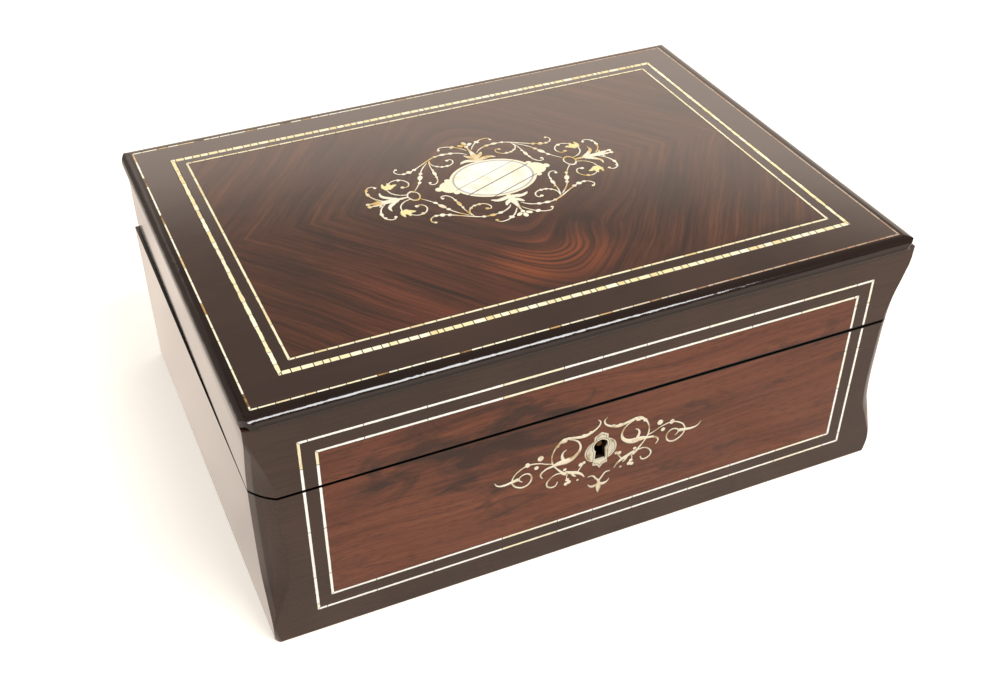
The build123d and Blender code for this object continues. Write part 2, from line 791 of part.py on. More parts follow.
with BuildPart() as right_board:
    slab(partition_right, (-inner_y, inner_y), (bottom_thickness, partition_top))
    slab(
        partition_right,
        (stop_pivot[1] - 5, stop_pivot[1] + 9),
        (brake_disc_z[0] - 2.5, brake_disc_z[1] + 2.5),
        mode=Mode.SUBTRACT,
    )
keep(right_board, "right_partition")

middle_x = (partition_left[1], partition_right[0])
with BuildPart() as ledges:
    for near, far in ((-inner_y, -inner_y + ledge), (inner_y - ledge, inner_y)):
        slab(middle_x, (near, far), (glass_z - ledge, glass_z))
keep(ledges, "glass_ledges")

with BuildPart() as glass:
    slab(
        (middle_x[0] + 0.4, middle_x[1] - 0.4),
        (-inner_y + 0.4, inner_y - 0.4),
        (glass_z, glass_z + glass_thickness),
    )
    fillet(glass.edges().filter_by(Axis.Z), 2)
keep(glass, "inner_glass")

with BuildPart() as battens:
    for sign in (-1, 1):
        middle_y = sign * bed_screw_spacing[1] / 2
        slab(bed_x, (middle_y - 7, middle_y + 7), (bottom_thickness, bed_z))
    bed_screws_here(Mode.SUBTRACT)
keep(battens, "bed_battens")

with BuildPart() as bedplate:
    slab(bed_x, bed_y, (bed_z, bed_top))
    fillet(bedplate.edges().filter_by(Axis.Z), 5)
    fillet(bedplate.edges().group_by(Axis.Z)[-1], 0.8)
    bed_screws_here(Mode.SUBTRACT)
keep(bedplate, "bedplate")

with BuildPart() as bed_screws:
    bed_screws_here(Mode.ADD)
keep(bed_screws, "bedplate_screws")

# ---------------------------------------------------------------- cylinder
arbor_x = (-65.0, 77.0)
pinion_x = (barrel_gear_x[0] - 1, barrel_gear_x[1] + 1)
barrel_offset = (barrel_centre[0] - cylinder_centre[0], barrel_centre[1] - cylinder_centre[1])
to_barrel = math.degrees(math.atan2(barrel_offset[1], barrel_offset[0]))

with BuildPart() as cylinder:
    rod(cylinder_centre, cylinder_radius, cylinder_x)
    hollow_x = (cylinder_x[0] + cylinder_wall, cylinder_x[1] - cylinder_wall)
    rod(cylinder_centre, cylinder_radius - cylinder_wall, hollow_x, mode=Mode.SUBTRACT)
    rod(cylinder_centre, cylinder_arbor_radius, cylinder_x, mode=Mode.SUBTRACT)
keep(cylinder, "pinned_cylinder")

with BuildPart() as cylinder_arbor:
    gear_disc((cylinder_pinion_teeth, barrel_module), cylinder_centre, pinion_x, to_barrel, 1.0)
    rod(cylinder_centre, cylinder_arbor_radius, arbor_x)
keep(cylinder_arbor, "cylinder_arbor")

with BuildPart() as great_wheel:
    great_size = (great_teeth, great_module)
    gear_disc(great_size, cylinder_centre, great_x, second_angle, cylinder_arbor_radius, (4.6, 5, 12.5))
keep(great_wheel, "great_wheel")

# ---------------------------------------------------------------- comb
comb_teeth = 56
tooth_pitch = (cylinder_x[1] - cylinder_x[0]) / comb_teeth
tooth_slot = 0.5
tip_y = cylinder_centre[0] - cylinder_radius - 1.4
heel_y = -30.0
comb_back_y = -42.0
tooth_z = (46.4, 47.6)
heel_z = (45.4, 49.0)
comb_screw_y = (heel_y + comb_back_y) / 2
comb_foot = 5.0
comb_foot_y = (-52.0, -28.0)


def comb_screws_here(mode):
    """The row of screws that holds the comb on its base."""
    for number in range(7):
        x = cylinder_x[0] + 8 + number * 16
        screw(x, comb_screw_y, heel_z[1] + comb_screw[2], comb_screw, mode=mode)


with BuildPart() as comb:
    slab(cylinder_x, (comb_back_y, heel_y), heel_z)
    slab(cylinder_x, (heel_y, tip_y), tooth_z)
    for number in range(comb_teeth + 1):
        middle = cylinder_x[0] + number * tooth_pitch
        slot_x = (middle - tooth_slot / 2, middle + tooth_slot / 2)
        slab(slot_x, (heel_y, tip_y), tooth_z, mode=Mode.SUBTRACT)
    comb_screws_here(Mode.SUBTRACT)
keep(comb, "steel_comb")

with BuildPart() as comb_base:
    slab(cylinder_x, comb_foot_y, (bed_top, bed_top + comb_foot))
    slab(cylinder_x, (comb_back_y - 1.5, heel_y - 1.0), (bed_top + comb_foot, heel_z[0]))
    comb_screws_here(Mode.SUBTRACT)
keep(comb_base, "comb_base")

with BuildPart() as comb_screws:
    comb_screws_here(Mode.ADD)
keep(comb_screws, "comb_screws")

# ---------------------------------------------------------------- spring barrel and winding
with BuildPart() as spring_barrel:
    in_mesh = to_barrel - 180 + 180 / barrel_teeth
    arbor_hole = winding_arbor_radius + running
    gear_disc((barrel_teeth, barrel_module), barrel_centre, barrel_gear_x, in_mesh, arbor_hole)
    rod(barrel_centre, barrel_radius, barrel_x)
    cavity = (barrel_x[0] + 2, barrel_x[1] - 1)
    rod(barrel_centre, barrel_radius - barrel_wall, cavity, mode=Mode.SUBTRACT)
    rod(barrel_centre, arbor_hole, (barrel_x[0], barrel_gear_x[1]), mode=Mode.SUBTRACT)
keep(spring_barrel, "spring_barrel")

coil_turns = 9
coil_start = 5.0
coil_step = 1.6
coil_thickness = 0.5
steps_per_turn = 20
with BuildPart() as mainspring:
    inner_edge = []
    outer_edge = []
    for number in range(coil_turns * steps_per_turn + 1):
        radius = coil_start + coil_step * number / steps_per_turn
        degrees = 360 * number / steps_per_turn
        inner_edge.append(polar(barrel_centre, radius, degrees))
        outer_edge.append(polar(barrel_centre, radius + coil_thickness, degrees))
    with BuildSketch(Plane.YZ.offset(cavity[0] + 0.8)):
        Polygon(*inner_edge, *reversed(outer_edge), align=None)
    extrude(amount=cavity[1] - cavity[0] - 1.6)
keep(mainspring, "mainspring")

with BuildPart() as winding_arbor:
    rod(barrel_centre, winding_arbor_radius, winding_arbor_x)
keep(winding_arbor, "winding_arbor")

with BuildPart() as ratchet_wheel:
    outline = []
    for tooth in range(ratchet_teeth):
        start = click_nose_angle + 0.5 + tooth * 360 / ratchet_teeth
        outline.append(polar(barrel_centre, ratchet_root, start))
        outline.append(polar(barrel_centre, ratchet_tip, start + 0.5))
    with BuildSketch(Plane.YZ.offset(ratchet_x[0])):
        Polygon(*outline, align=None)
        with Locations(barrel_centre):
            Circle(winding_arbor_radius, mode=Mode.SUBTRACT)
    extrude(amount=ratchet_x[1] - ratchet_x[0])
keep(ratchet_wheel, "ratchet_wheel")

click_pivot = polar(barrel_centre, click_distance, click_angle)
click_hub = 2.6
click_pin_radius = 1.2
with BuildPart() as click:
    nose = polar(barrel_centre, ratchet_tip + click_gap, click_nose_angle)
    nose_back = polar(barrel_centre, ratchet_tip + click_gap + 1.5, click_nose_angle - 1)
    hub_inner = polar(click_pivot, click_hub - 0.3, click_angle + 175)
    hub_outer = polar(click_pivot, click_hub - 0.2, click_angle + 40)
    with BuildSketch(Plane.YZ.offset(ratchet_x[0])):
        with Locations(click_pivot):
            Circle(click_hub)
        Polygon(nose, nose_back, hub_outer, hub_inner, align=None)
        with Locations(click_pivot):
            Circle(click_pin_radius + running, mode=Mode.SUBTRACT)
    extrude(amount=ratchet_x[1] - ratchet_x[0])
keep(click, "ratchet_click")

with BuildPart() as lever:
    rod(barrel_centre, lever_boss_radius, lever_x)
    knob_centre = polar(barrel_centre, lever_length, lever_rest_angle)
    side_a = polar(barrel_centre, lever_half_width[0], lever_rest_angle - 90)
    side_b = polar(barrel_centre, lever_half_width[0], lever_rest_angle + 90)
    end_a = polar(knob_centre, lever_half_width[1], lever_rest_angle - 90)
    end_b = polar(knob_centre, lever_half_width[1], lever_rest_angle + 90)
    with BuildSketch(Plane.YZ.offset(lever_x[0] + 1)):
        Polygon(side_a, end_a, end_b, side_b, align=None)
    extrude(amount=3)
    rod(knob_centre, 3.0, (lever_x[0] - 8, lever_x[0] + 4))
    with Locations((lever_x[0] - 9, knob_centre[0], knob_centre[1])):
        Sphere(lever_knob_radius)
    rod(barrel_centre, winding_arbor_radius, (winding_arbor_x[0], lever_x[1]), mode=Mode.SUBTRACT)
keep(lever, "winding_lever")

# ---------------------------------------------------------------- stands
outer_stand_x = (-97.0, -93.5)
outer_stand_top = 64.0
inner_stand_x = (-50.0, -47.0)
inner_stand_top = 52.0
with BuildPart() as barrel_stands:
    outer_stand_y = (barrel_centre[0] - 12, barrel_centre[0] + 13)
    inner_stand_y = (barrel_centre[0] - 7, barrel_centre[0] + 7)
    slab(outer_stand_x, outer_stand_y, (bed_top, outer_stand_top))
    rod(click_pivot, click_pin_radius, (outer_stand_x[1], ratchet_x[1]))
    slab(inner_stand_x, inner_stand_y, (bed_top, inner_stand_top))
    both_stands_x = (outer_stand_x[0], inner_stand_x[1])
    rod(barrel_centre, winding_arbor_radius + running, both_stands_x, mode=Mode.SUBTRACT)
keep(barrel_stands, "barrel_stands")

cylinder_stand_x = (-64.0, -60.0)
cylinder_stand_top = 55.0
cylinder_foot_x = (-72.0, -60.0)
with BuildPart() as cylinder_stand:
    stand_y = (cylinder_centre[0] - 6.5, cylinder_centre[0] + 6.5)
    slab(cylinder_stand_x, stand_y, (bed_top, cylinder_stand_top))
    slab(cylinder_foot_x, stand_y, (bed_top, bed_top + 4))
    rod(cylinder_centre, cylinder_arbor_radius + running, cylinder_stand_x, mode=Mode.SUBTRACT)
keep(cylinder_stand, "cylinder_stand")

# ---------------------------------------------------------------- governor
inner_plate_x = (73.0, 76.0)
inner_plate_y = (-38.0, 30.0)
outer_plate_x = (91.0, 94.0)
outer_plate_y = (-38.0, 10.0)
worm_bearing_half = 4.0
worm_bearing_height = 9.0
bridge_thickness = 3.0
second_arbor_radius = 1.3
third_arbor_radius = 1.1
worm_spot = (worm_x, worm_y)
core = 0.6  # bore radius that the solid arbor then fills
with BuildPart() as governor_frame:
    slab(inner_plate_x, inner_plate_y, (bed_top, frame_top))
    slab(outer_plate_x, outer_plate_y, (bed_top, frame_top))
    between_x = (inner_plate_x[1], outer_plate_x[0])
    bearing_x = (worm_x - worm_bearing_half, worm_x + worm_bearing_half)
    bearing_y = (worm_y - worm_bearing_half, worm_y + worm_bearing_half)
    slab(between_x, outer_plate_y, (bed_top, bed_top + bridge_thickness))
    slab(bearing_x, bearing_y, (bed_top + bridge_thickness, bed_top + worm_bearing_height))
    slab(between_x, bearing_y, (frame_top - bridge_thickness, frame_top))
    rod(cylinder_centre, cylinder_arbor_radius + running, inner_plate_x, mode=Mode.SUBTRACT)
    for plate_x in (inner_plate_x, outer_plate_x):
        rod(second_centre, second_arbor_radius + running, plate_x, mode=Mode.SUBTRACT)
        rod(third_centre, third_arbor_radius + running, plate_x, mode=Mode.SUBTRACT)
    post(*worm_spot, worm_arbor_radius + running, (bed_top + 5, frame_top), mode=Mode.SUBTRACT)
keep(governor_frame, "governor_frame")

with BuildPart() as second_wheel:
    in_mesh = second_angle - 180 + 180 / second_pinion_teeth
    wider_x = (great_x[0] - 0.5, great_x[1] + 0.5)
    gear_disc((second_pinion_teeth, great_module), second_centre, wider_x, in_mesh, core)
    gear_disc((second_teeth, second_module), second_centre, second_x, third_angle, core, (2.6, 5, 9.5))
    rod(second_centre, second_arbor_radius, (great_x[0] - 0.5, outer_plate_x[1]))
keep(second_wheel, "second_wheel")

with BuildPart() as third_wheel:
    in_mesh = third_angle - 180 + 180 / third_pinion_teeth
    wider_x = (second_x[0] - 0.6, second_x[1] + 0.6)
    gear_disc((third_pinion_teeth, second_module), third_centre, wider_x, in_mesh, core)
    gear_disc((worm_wheel_teeth, second_module), third_centre, worm_wheel_x, 180, core, addendum=0.7)
    rod(third_centre, third_arbor_radius, (inner_plate_x[0], outer_plate_x[1]))
keep(third_wheel, "third_wheel")

thread_turns = 8
thread_half_root = 0.38
thread_half_tip = 0.19
thread_sunk = 0.06  # how far the thread's foot lies inside the core
thread_start = worm_z + worm_pitch / 4 - worm_pitch * thread_turns / 2
with BuildPart() as endless_screw:
    with BuildLine():
        thread_path = Helix(
            pitch=worm_pitch,
            height=worm_pitch * thread_turns,
            radius=worm_root_radius - thread_sunk,
            center=(worm_x, worm_y, thread_start),
        )
    with BuildSketch(Plane(origin=thread_path @ 0, x_dir=(1, 0, 0), z_dir=thread_path % 0)):
        thread_depth = worm_tip_radius - worm_root_radius + thread_sunk
        Polygon(
            (0, -thread_half_root),
            (thread_depth, -thread_half_tip),
            (thread_depth, thread_half_tip),
            (0, thread_half_root),
            align=None,
        )
    sweep(is_frenet=True)
    thread_end = thread_start + worm_pitch * thread_turns
    post(*worm_spot, worm_arbor_radius, (bed_top + 5.2, endless_top))
    post(*worm_spot, worm_root_radius, (thread_start - 1.5, thread_end + 1.5))
    post(*worm_spot, brake_disc_radius, brake_disc_z)
keep(endless_screw, "endless_screw")

with BuildPart() as fly:
    post(*worm_spot, fly_hub_radius, fly_hub_z)
    blade_x = (worm_x - fly_radius, worm_x + fly_radius)
    slab(blade_x, (worm_y - fly_thickness / 2, worm_y + fly_thickness / 2), fly_blade_z)
    post(*worm_spot, worm_arbor_radius, (fly_hub_z[0], endless_top), mode=Mode.SUBTRACT)
keep(fly, "governor_fly")

# ---------------------------------------------------------------- stop lever
shoe_direction = math.degrees(math.atan2(worm_y - stop_pivot[1], worm_x - stop_pivot[0]))
shoe_reach = math.dist(stop_pivot, worm_spot) - brake_disc_radius - stop_gap
handle_y = stop_pivot[1] - 0.5
knob_x = stop_pivot[0] + stop_handle_reach - 1.5
with BuildPart() as stop_post:
    post(*stop_pivot, 3.5, (bed_top, brake_disc_z[0] - 0.3))
    post(*stop_pivot, 1.5, (brake_disc_z[0] - 0.3, brake_disc_z[1] + 2))
keep(stop_post, "stop_lever_post")

with BuildPart() as stop_lever:
    with BuildSketch(Plane.XY.offset(brake_disc_z[0])):
        with Locations(stop_pivot):
            Circle(4)
            with Locations(Location((0, 0), shoe_direction - stop_swing)):
                with Locations((shoe_reach / 2, 0)):
                    Rectangle(shoe_reach, stop_arm_width)
        with Locations((stop_pivot[0] + stop_handle_reach / 2, handle_y)):
            Rectangle(stop_handle_reach, stop_arm_width)
        with Locations(stop_pivot):
            Circle(1.5 + running, mode=Mode.SUBTRACT)
    extrude(amount=brake_disc_z[1] - brake_disc_z[0])
    post(knob_x, handle_y, 1.2, (brake_disc_z[1], stop_knob_z - 2))
    with Locations((knob_x, handle_y, stop_knob_z)):
        Sphere(stop_knob_radius)
keep(stop_lever, "stop_lever")
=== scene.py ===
import bpy
import bmesh
import math
import random
from mathutils import Matrix, Vector


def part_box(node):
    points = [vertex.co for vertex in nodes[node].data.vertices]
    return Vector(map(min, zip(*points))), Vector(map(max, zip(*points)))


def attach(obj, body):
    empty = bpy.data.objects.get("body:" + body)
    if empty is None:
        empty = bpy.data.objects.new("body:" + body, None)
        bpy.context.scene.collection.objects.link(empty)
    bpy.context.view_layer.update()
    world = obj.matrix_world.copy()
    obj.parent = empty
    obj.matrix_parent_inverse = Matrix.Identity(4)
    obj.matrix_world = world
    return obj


# Inlaid rosewood music box. The scene is in metres; sizes written in mm go through mm().
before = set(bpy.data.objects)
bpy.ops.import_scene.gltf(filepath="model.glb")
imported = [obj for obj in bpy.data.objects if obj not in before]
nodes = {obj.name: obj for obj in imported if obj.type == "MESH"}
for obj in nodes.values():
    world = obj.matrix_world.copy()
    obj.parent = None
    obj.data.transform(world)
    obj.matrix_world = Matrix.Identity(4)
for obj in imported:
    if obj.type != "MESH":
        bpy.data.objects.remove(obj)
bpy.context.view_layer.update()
addToScene = bpy.context.scene.collection.objects.link
print("frame:", len(nodes), "CAD nodes")


def mm(value):
    return value * 0.001


def linear(hexColour):
    channels = [int(hexColour[i:i + 2], 16) / 255 for i in (1, 3, 5)]
    return [c / 12.92 if c <= 0.04045 else ((c + 0.055) / 1.055) ** 2.4 for c in channels] + [1.0]


def addNode(tree, kind, links=(), out=0, **settings):
    # kind may end with a dot and the node's operation, or a mix's data type. links holds values or other
    # nodes' outputs, in the inputs' order or by input name or number. stops fill a colour ramp. The
    # result is the output named or numbered by out, or the whole node when out is None.
    kind, dot, choice = kind.partition(".")
    node = tree.nodes.new("ShaderNode" + kind)
    stops = settings.pop("stops", ())
    if choice:
        setattr(node, "data_type" if kind == "Mix" else "operation", choice)
    for name, value in settings.items():
        setattr(node, name, value)
    for name, value in links.items() if isinstance(links, dict) else enumerate(links):
        if isinstance(value, bpy.types.NodeSocket):
            tree.links.new(value, node.inputs[name])
        else:
            node.inputs[name].default_value = value
    for index, (place, colour) in enumerate(stops):
        elements = node.color_ramp.elements
        element = elements[index] if index < 2 else elements.new(place)
        element.position = place
        element.color = linear(colour)
    return node if out is None else node.outputs[out]


def emptyTree(owner):
    owner.use_nodes = True
    owner.node_tree.nodes.clear()
    return owner.node_tree


def startMaterial(name, **surface):
    # one Principled surface, with its even values set on its own sockets
    material = bpy.data.materials.new(name)
    tree = emptyTree(material)
    shader = addNode(tree, "BsdfPrincipled", surface, out=None)
    addNode(tree, "OutputMaterial", {"Surface": shader.outputs[0]}, out=None)
    position = addNode(tree, "TexCoord", out="Object")
    return material, tree, shader, position


def addPiece(name, work, material):
    # the finished bmesh becomes one object at the origin
    mesh = bpy.data.meshes.new(name)
    work.to_mesh(mesh)
    work.free()
    mesh.materials.append(material)
    piece = bpy.data.objects.new(name, mesh)
    addToScene(piece)
    return piece


def setSlots(names, material):
    for name in names:
        mesh = nodes[name].data
        if not mesh.materials:
            mesh.materials.append(material)
        for slot in nodes[name].material_slots:
            slot.material = material


cameraSetup = {
    "location": (-0.20534, -0.45327, 0.41587),
    "azimuth": -22.91,
    "elevation": 39.37,
    "roll": -0.69,
    "lens": 45.56,
    "shift": (0.0291, 0.0410),
}
azimuth, elevation = (math.radians(cameraSetup[k]) for k in ("azimuth", "elevation"))
viewBack = Vector((
    math.sin(azimuth) * math.cos(elevation),
    -math.cos(azimuth) * math.cos(elevation),
    math.sin(elevation),
))
cameraData = bpy.data.cameras.new("camera")
cameraData.lens = cameraSetup["lens"]
cameraData.sensor_width = 36
cameraData.shift_x, cameraData.shift_y = cameraSetup["shift"]
camera = bpy.data.objects.new("camera", cameraData)
turn = (-viewBack).to_track_quat("-Z", "Y").to_matrix().to_4x4()
rollTurn = Matrix.Rotation(math.radians(cameraSetup["roll"]), 4, "Z")
camera.matrix_world = Matrix.Translation(cameraSetup["location"]) @ turn @ rollTurn
addToScene(camera)
bpy.context.scene.camera = camera
bpy.context.scene.view_settings.view_transform = "Standard"
print("camera ready")

# Each layer of streaks: width across the grain and length along it, in mm. A range turns a pattern's
# level into a mask; an edge says how far out an oval is solid and where it is gone, in its own size.
rosewoodFront = {
    "seed": 2.3,
    "stops": [(0.26, "#38190F"), (0.42, "#5A2D1A"), (0.56, "#6E3A23"), (0.74, "#83492C")],
    "wave": (6.5, 9.0),    # the grain strays by so many mm, in so many waves a metre
    "broad": (15.0, 110.0), "streak": (2.6, 80.0), "fine": (0.9, 45.0),
    "streakShare": 0.42, "fineShare": 0.22,
    "pore": (0.55, 6.0),   # real pores are 0.1 mm wide; drawn coarser so that they show
    "poreRange": (0.36, 0.46), "poreDepth": 0.28, "poreColour": "#140906",
    # dark clouds like smoke, most of them round one centre
    "cloud": "#1A0F0A", "cloudScale": (32.0, 1.0, 85.0), "cloudRange": (0.56, 0.74), "cloudShare": 0.75,
    "cloudCentre": (-58.0, 77.0), "cloudSize": (54.0, 26.0), "cloudEdge": (0.35, 1.35), "cloudLift": 0.19,
}
rosewoodTop = {
    "seed": 5.1,
    "stops": [(0.36, "#2B170F"), (0.46, "#3D2015"), (0.54, "#482719"), (0.64, "#5B3420")],
    "wave": (3.6, 13.0),
    "broad": (13.0, 110.0), "streak": (2.7, 75.0), "fine": (1.0, 45.0),
    "streakShare": 0.55, "fineShare": 0.42,
    "pore": (0.5, 7.0), "poreRange": (0.36, 0.46), "poreDepth": 0.34, "poreColour": "#140906",
    "cross": (3.0, 8.6),   # where the four leaves meet
    "lean": 54.0,          # the grain's slope in each leaf, degrees
    "arch": 15.0,          # mm over which the grain turns round at the middle joint
    "bulge": 6.0,          # mm that the grain swings round the knot
    "smoke": "#231912", "smokeScale": 17.0, "smokeRange": (0.46, 0.68), "smokeShare": 0.6,
    "redRange": (0.4, 0.6),
    "red": (               # redder wood between the streaks: colour, centre, size, edge, share
        ("#6A3020", (-42.0, -62.0), (85.0, 60.0), (0.3, 1.2), 0.42),
        ("#84411F", (-1.0, -58.0), (30.0, 17.0), (0.3, 1.25), 0.95),
    ),
    "knot": "#17100C", "knotCentre": (25.0, -34.0), "knotSize": (8.0, 7.0), "knotEdge": (0.2, 1.1),
    "knotShare": 0.6, "swirlSize": (24.0, 20.0), "swirlEdge": (0.1, 1.3),
}


def woodColour(tree, position, across, along, look):
    # the colour, pore mask and figure of a streaked wood, from distances across and along its grain
    reach, waves = look["wave"]
    wander = addNode(tree, "TexNoise", {
        "Vector": position, "Scale": waves, "Detail": 1.5, "Roughness": 0.45, "W": look["seed"],
    }, noise_dimensions="4D")
    centred = addNode(tree, "Math.SUBTRACT", [wander, 0.5])
    bent = addNode(tree, "Math.MULTIPLY_ADD", [centred, mm(reach) * 4, across])
    layers = []
    for key, detail in (("broad", 2.0), ("streak", 3.0), ("fine", 2.0), ("pore", 1.0)):
        width, length = look[key]
        u = addNode(tree, "Math.MULTIPLY", [bent, 1 / mm(width)])
        v = addNode(tree, "Math.MULTIPLY", [along, 1 / mm(length)])
        place = addNode(tree, "CombineXYZ", [u, v, look["seed"] * 3.0])
        layers.append(addNode(tree, "TexNoise", {
            "Vector": place, "Scale": 1.0, "Detail": detail, "Roughness": 0.5,
        }))
    broad, streak, fine, pore = layers
    figure = addNode(tree, "Mix", {0: look["streakShare"], 2: broad, 3: streak})
    figure = addNode(tree, "Mix", {0: look["fineShare"], 2: figure, 3: fine})
    colour = addNode(tree, "ValToRGB", [figure], stops=look["stops"])
    pores = addNode(tree, "MapRange", [pore, *look["poreRange"], look["poreDepth"], 0.0])
    colour = addNode(tree, "Mix.RGBA", {0: pores, 6: colour, 7: linear(look["poreColour"])}, out=2)
    return colour, pores, figure


def softSpot(tree, position, centre, size, upAxis, edge):
    # 1 in the middle of an oval and 0 outside it; centre and size in mm
    scale = [0.0, 0.0, 0.0]
    offset = [0.0, 0.0, 0.0]
    for axis, middle, half in zip((0, upAxis), centre, size):
        scale[axis] = 1 / mm(half)
        offset[axis] = -middle / half
    place = addNode(tree, "Mapping", {"Vector": position, "Location": offset, "Scale": scale})
    reach = addNode(tree, "VectorMath.LENGTH", [place], out="Value")
    return addNode(tree, "MapRange", [reach, *edge, 1.0, 0.0], interpolation_type="SMOOTHSTEP")


polish = {"rippleScale": 45.0, "grain": -0.06, "strength": 0.2, "depth": 0.25}


def polishBump(tree, shader, position, height):
    # hand-rubbed polish is never quite flat: a slow ripple with the grain faintly showing
    ripple = addNode(tree, "TexNoise", {"Vector": position, "Scale": polish["rippleScale"], "Detail": 1.0})
    surface = addNode(tree, "Math.MULTIPLY_ADD", [height, polish["grain"], ripple])
    bump = addNode(tree, "Bump", {
        "Height": surface, "Strength": polish["strength"], "Distance": mm(polish["depth"]),
    })
    tree.links.new(bump, shader.inputs["Normal"])


# painted shade: the rims between lid and base are painted black as the shadow in the gap between them; half
# heights in mm, at the left and further right
seamShade = {
    "colour": "#080504", "middle": 80.6, "reach": (-148.6, 40.0), "front": (0.61, 1.05), "ends": (1.24, 1.24),
}


# painted shade: a black band along the gap between lid and base, of the given half heights
def paintSeamShade(tree, position, colour, halves):
    parts = addNode(tree, "SeparateXYZ", [position], out=None)
    half = addNode(tree, "MapRange", [parts.outputs[0], *(mm(v) for v in (*seamShade["reach"], *halves))])
    rim = addNode(tree, "Math.COMPARE", [parts.outputs[2], mm(seamShade["middle"]), half])
    return addNode(tree, "Mix.RGBA", {0: rim, 6: colour, 7: linear(seamShade["colour"])}, out=2)


# front panels: one flitch of rosewood veneer, French-polished, warm brown with wandering level grain
material, tree, shader, position = startMaterial("frenchPolishedRosewoodFront", **{
    "Roughness": 0.25, "IOR": 1.5, "Coat Weight": 0.1, "Coat Roughness": 0.1,
})
look = rosewoodFront
axes = addNode(tree, "SeparateXYZ", [position], out=None)
colour, pores, figure = woodColour(tree, position, axes.outputs[2], axes.outputs[0], look)
cloudFade = softSpot(tree, position, look["cloudCentre"], look["cloudSize"], 2, look["cloudEdge"])
cloudFade = addNode(tree, "Math.MULTIPLY", [cloudFade, look["cloudLift"]])
cloud = addNode(tree, "Mapping", {"Vector": position, "Scale": look["cloudScale"]})
cloud = addNode(tree, "TexNoise", {
    "Vector": cloud, "Scale": 1.0, "Detail": 4.0, "Roughness": 0.6, "Distortion": 0.8,
})
cloud = addNode(tree, "Math.ADD", [cloud, cloudFade])
cloud = addNode(tree, "MapRange", [cloud, *look["cloudRange"], 0.0, look["cloudShare"]])
colour = addNode(tree, "Mix.RGBA", {0: cloud, 6: colour, 7: linear(look["cloud"])}, out=2)
# painted shade: the seam across the front panels is painted black
tree.links.new(paintSeamShade(tree, position, colour, seamShade["front"]), shader.inputs["Base Color"])
polishBump(tree, shader, position, pores)
setSlots(["base_front_panel", "lid_front_panel"], material)

# lid: four leaves mirrored about the cross, so that the grain makes diamonds; a redder flame in front
material, tree, shader, position = startMaterial("quarteredRosewood", **{
    "Roughness": 0.16, "IOR": 1.5, "Coat Weight": 1.0, "Coat Roughness": 0.06,
})
look = rosewoodTop
crossX, crossY = (mm(v) for v in look["cross"])
fromCross = addNode(tree, "VectorMath.SUBTRACT", [position, (crossX, crossY, 0)])
parts = addNode(tree, "SeparateXYZ", [fromCross], out=None)
leaf = addNode(tree, "Math.MULTIPLY", [parts.outputs[0], parts.outputs[0]])
leaf = addNode(tree, "Math.ADD", [leaf, mm(look["arch"]) ** 2])
leaf = addNode(tree, "Math.SQRT", [leaf])
depth = addNode(tree, "Math.ABSOLUTE", [parts.outputs[1]])
folded = addNode(tree, "CombineXYZ", [leaf, depth])
lean = math.radians(look["lean"])
across, along = (
    addNode(tree, "VectorMath.DOT_PRODUCT", [folded, heading], out="Value")
    for heading in ((math.sin(lean), math.cos(lean), 0), (-math.cos(lean), math.sin(lean), 0))
)
swirl = softSpot(tree, position, look["knotCentre"], look["swirlSize"], 1, look["swirlEdge"])
across = addNode(tree, "Math.MULTIPLY_ADD", [swirl, mm(look["bulge"]), across])
colour, pores, figure = woodColour(tree, position, across, along, look)
streaky = addNode(tree, "MapRange", [figure, *look["redRange"]])
smoke = addNode(tree, "TexNoise", {
    "Vector": position, "Scale": look["smokeScale"], "Detail": 3.0, "Distortion": 0.6,
})
smoke = addNode(tree, "MapRange", [
    smoke, *look["smokeRange"], 0.0, look["smokeShare"],
], interpolation_type="SMOOTHSTEP")
colour = addNode(tree, "Mix.RGBA", {0: smoke, 6: colour, 7: linear(look["smoke"])}, out=2)
for redder, centre, size, edge, share in look["red"]:
    spot = softSpot(tree, position, centre, size, 1, edge)
    for strength in (streaky, share):
        spot = addNode(tree, "Math.MULTIPLY", [spot, strength])
    colour = addNode(tree, "Mix.RGBA", {0: spot, 6: colour, 7: linear(redder)}, out=2)
knot = softSpot(tree, position, look["knotCentre"], look["knotSize"], 1, look["knotEdge"])
knot = addNode(tree, "Math.MULTIPLY", [knot, look["knotShare"]])
colour = addNode(tree, "Mix.RGBA", {0: knot, 6: colour, 7: linear(look["knot"])}, out=2)
tree.links.new(colour, shader.inputs["Base Color"])
polishBump(tree, shader, position, pores)
setSlots(["lid_quartered_veneer"], material)

ebonised = {
    "base": "#2A1912", "warm": "#382219",
    "grain": (0.8, 25.0),    # width and length, mm
    "cloudScale": 22.0, "warmRange": (0.15, 0.38),
}
ebonisedBands = {**ebonised, "base": "#32221A", "warm": "#412C22", "seam": seamShade["front"]}
ebonisedEnds = {**ebonised, "seam": seamShade["ends"]}
ebonisedNosing = {**ebonised, "base": "#180E0B", "warm": "#22140F"}
varnishedDeal = {**ebonised, "base": "#8A5B33", "warm": "#A8764A", "grain": (1.6, 60.0)}
masticLook = {**ebonised, "base": "#160C08", "warm": "#21130C", "grain": (0.8, 2.0)}
caseInside = {
    "dark": "#5E3A20",
    "pale": "#8A5A34",
    "half": (137.65, 97.05),    # inner faces of the case, only varnished
    "outerX": 146.7,            # the flat ends beyond this have the thickest polish
    "coat": (0.15, 0.92, 0.3),  # polish elsewhere, on the ends, and at the ends' rubbed top edge
    "rubbed": (107.0, 117.0),   # heights over which the polish is rubbed thin
}


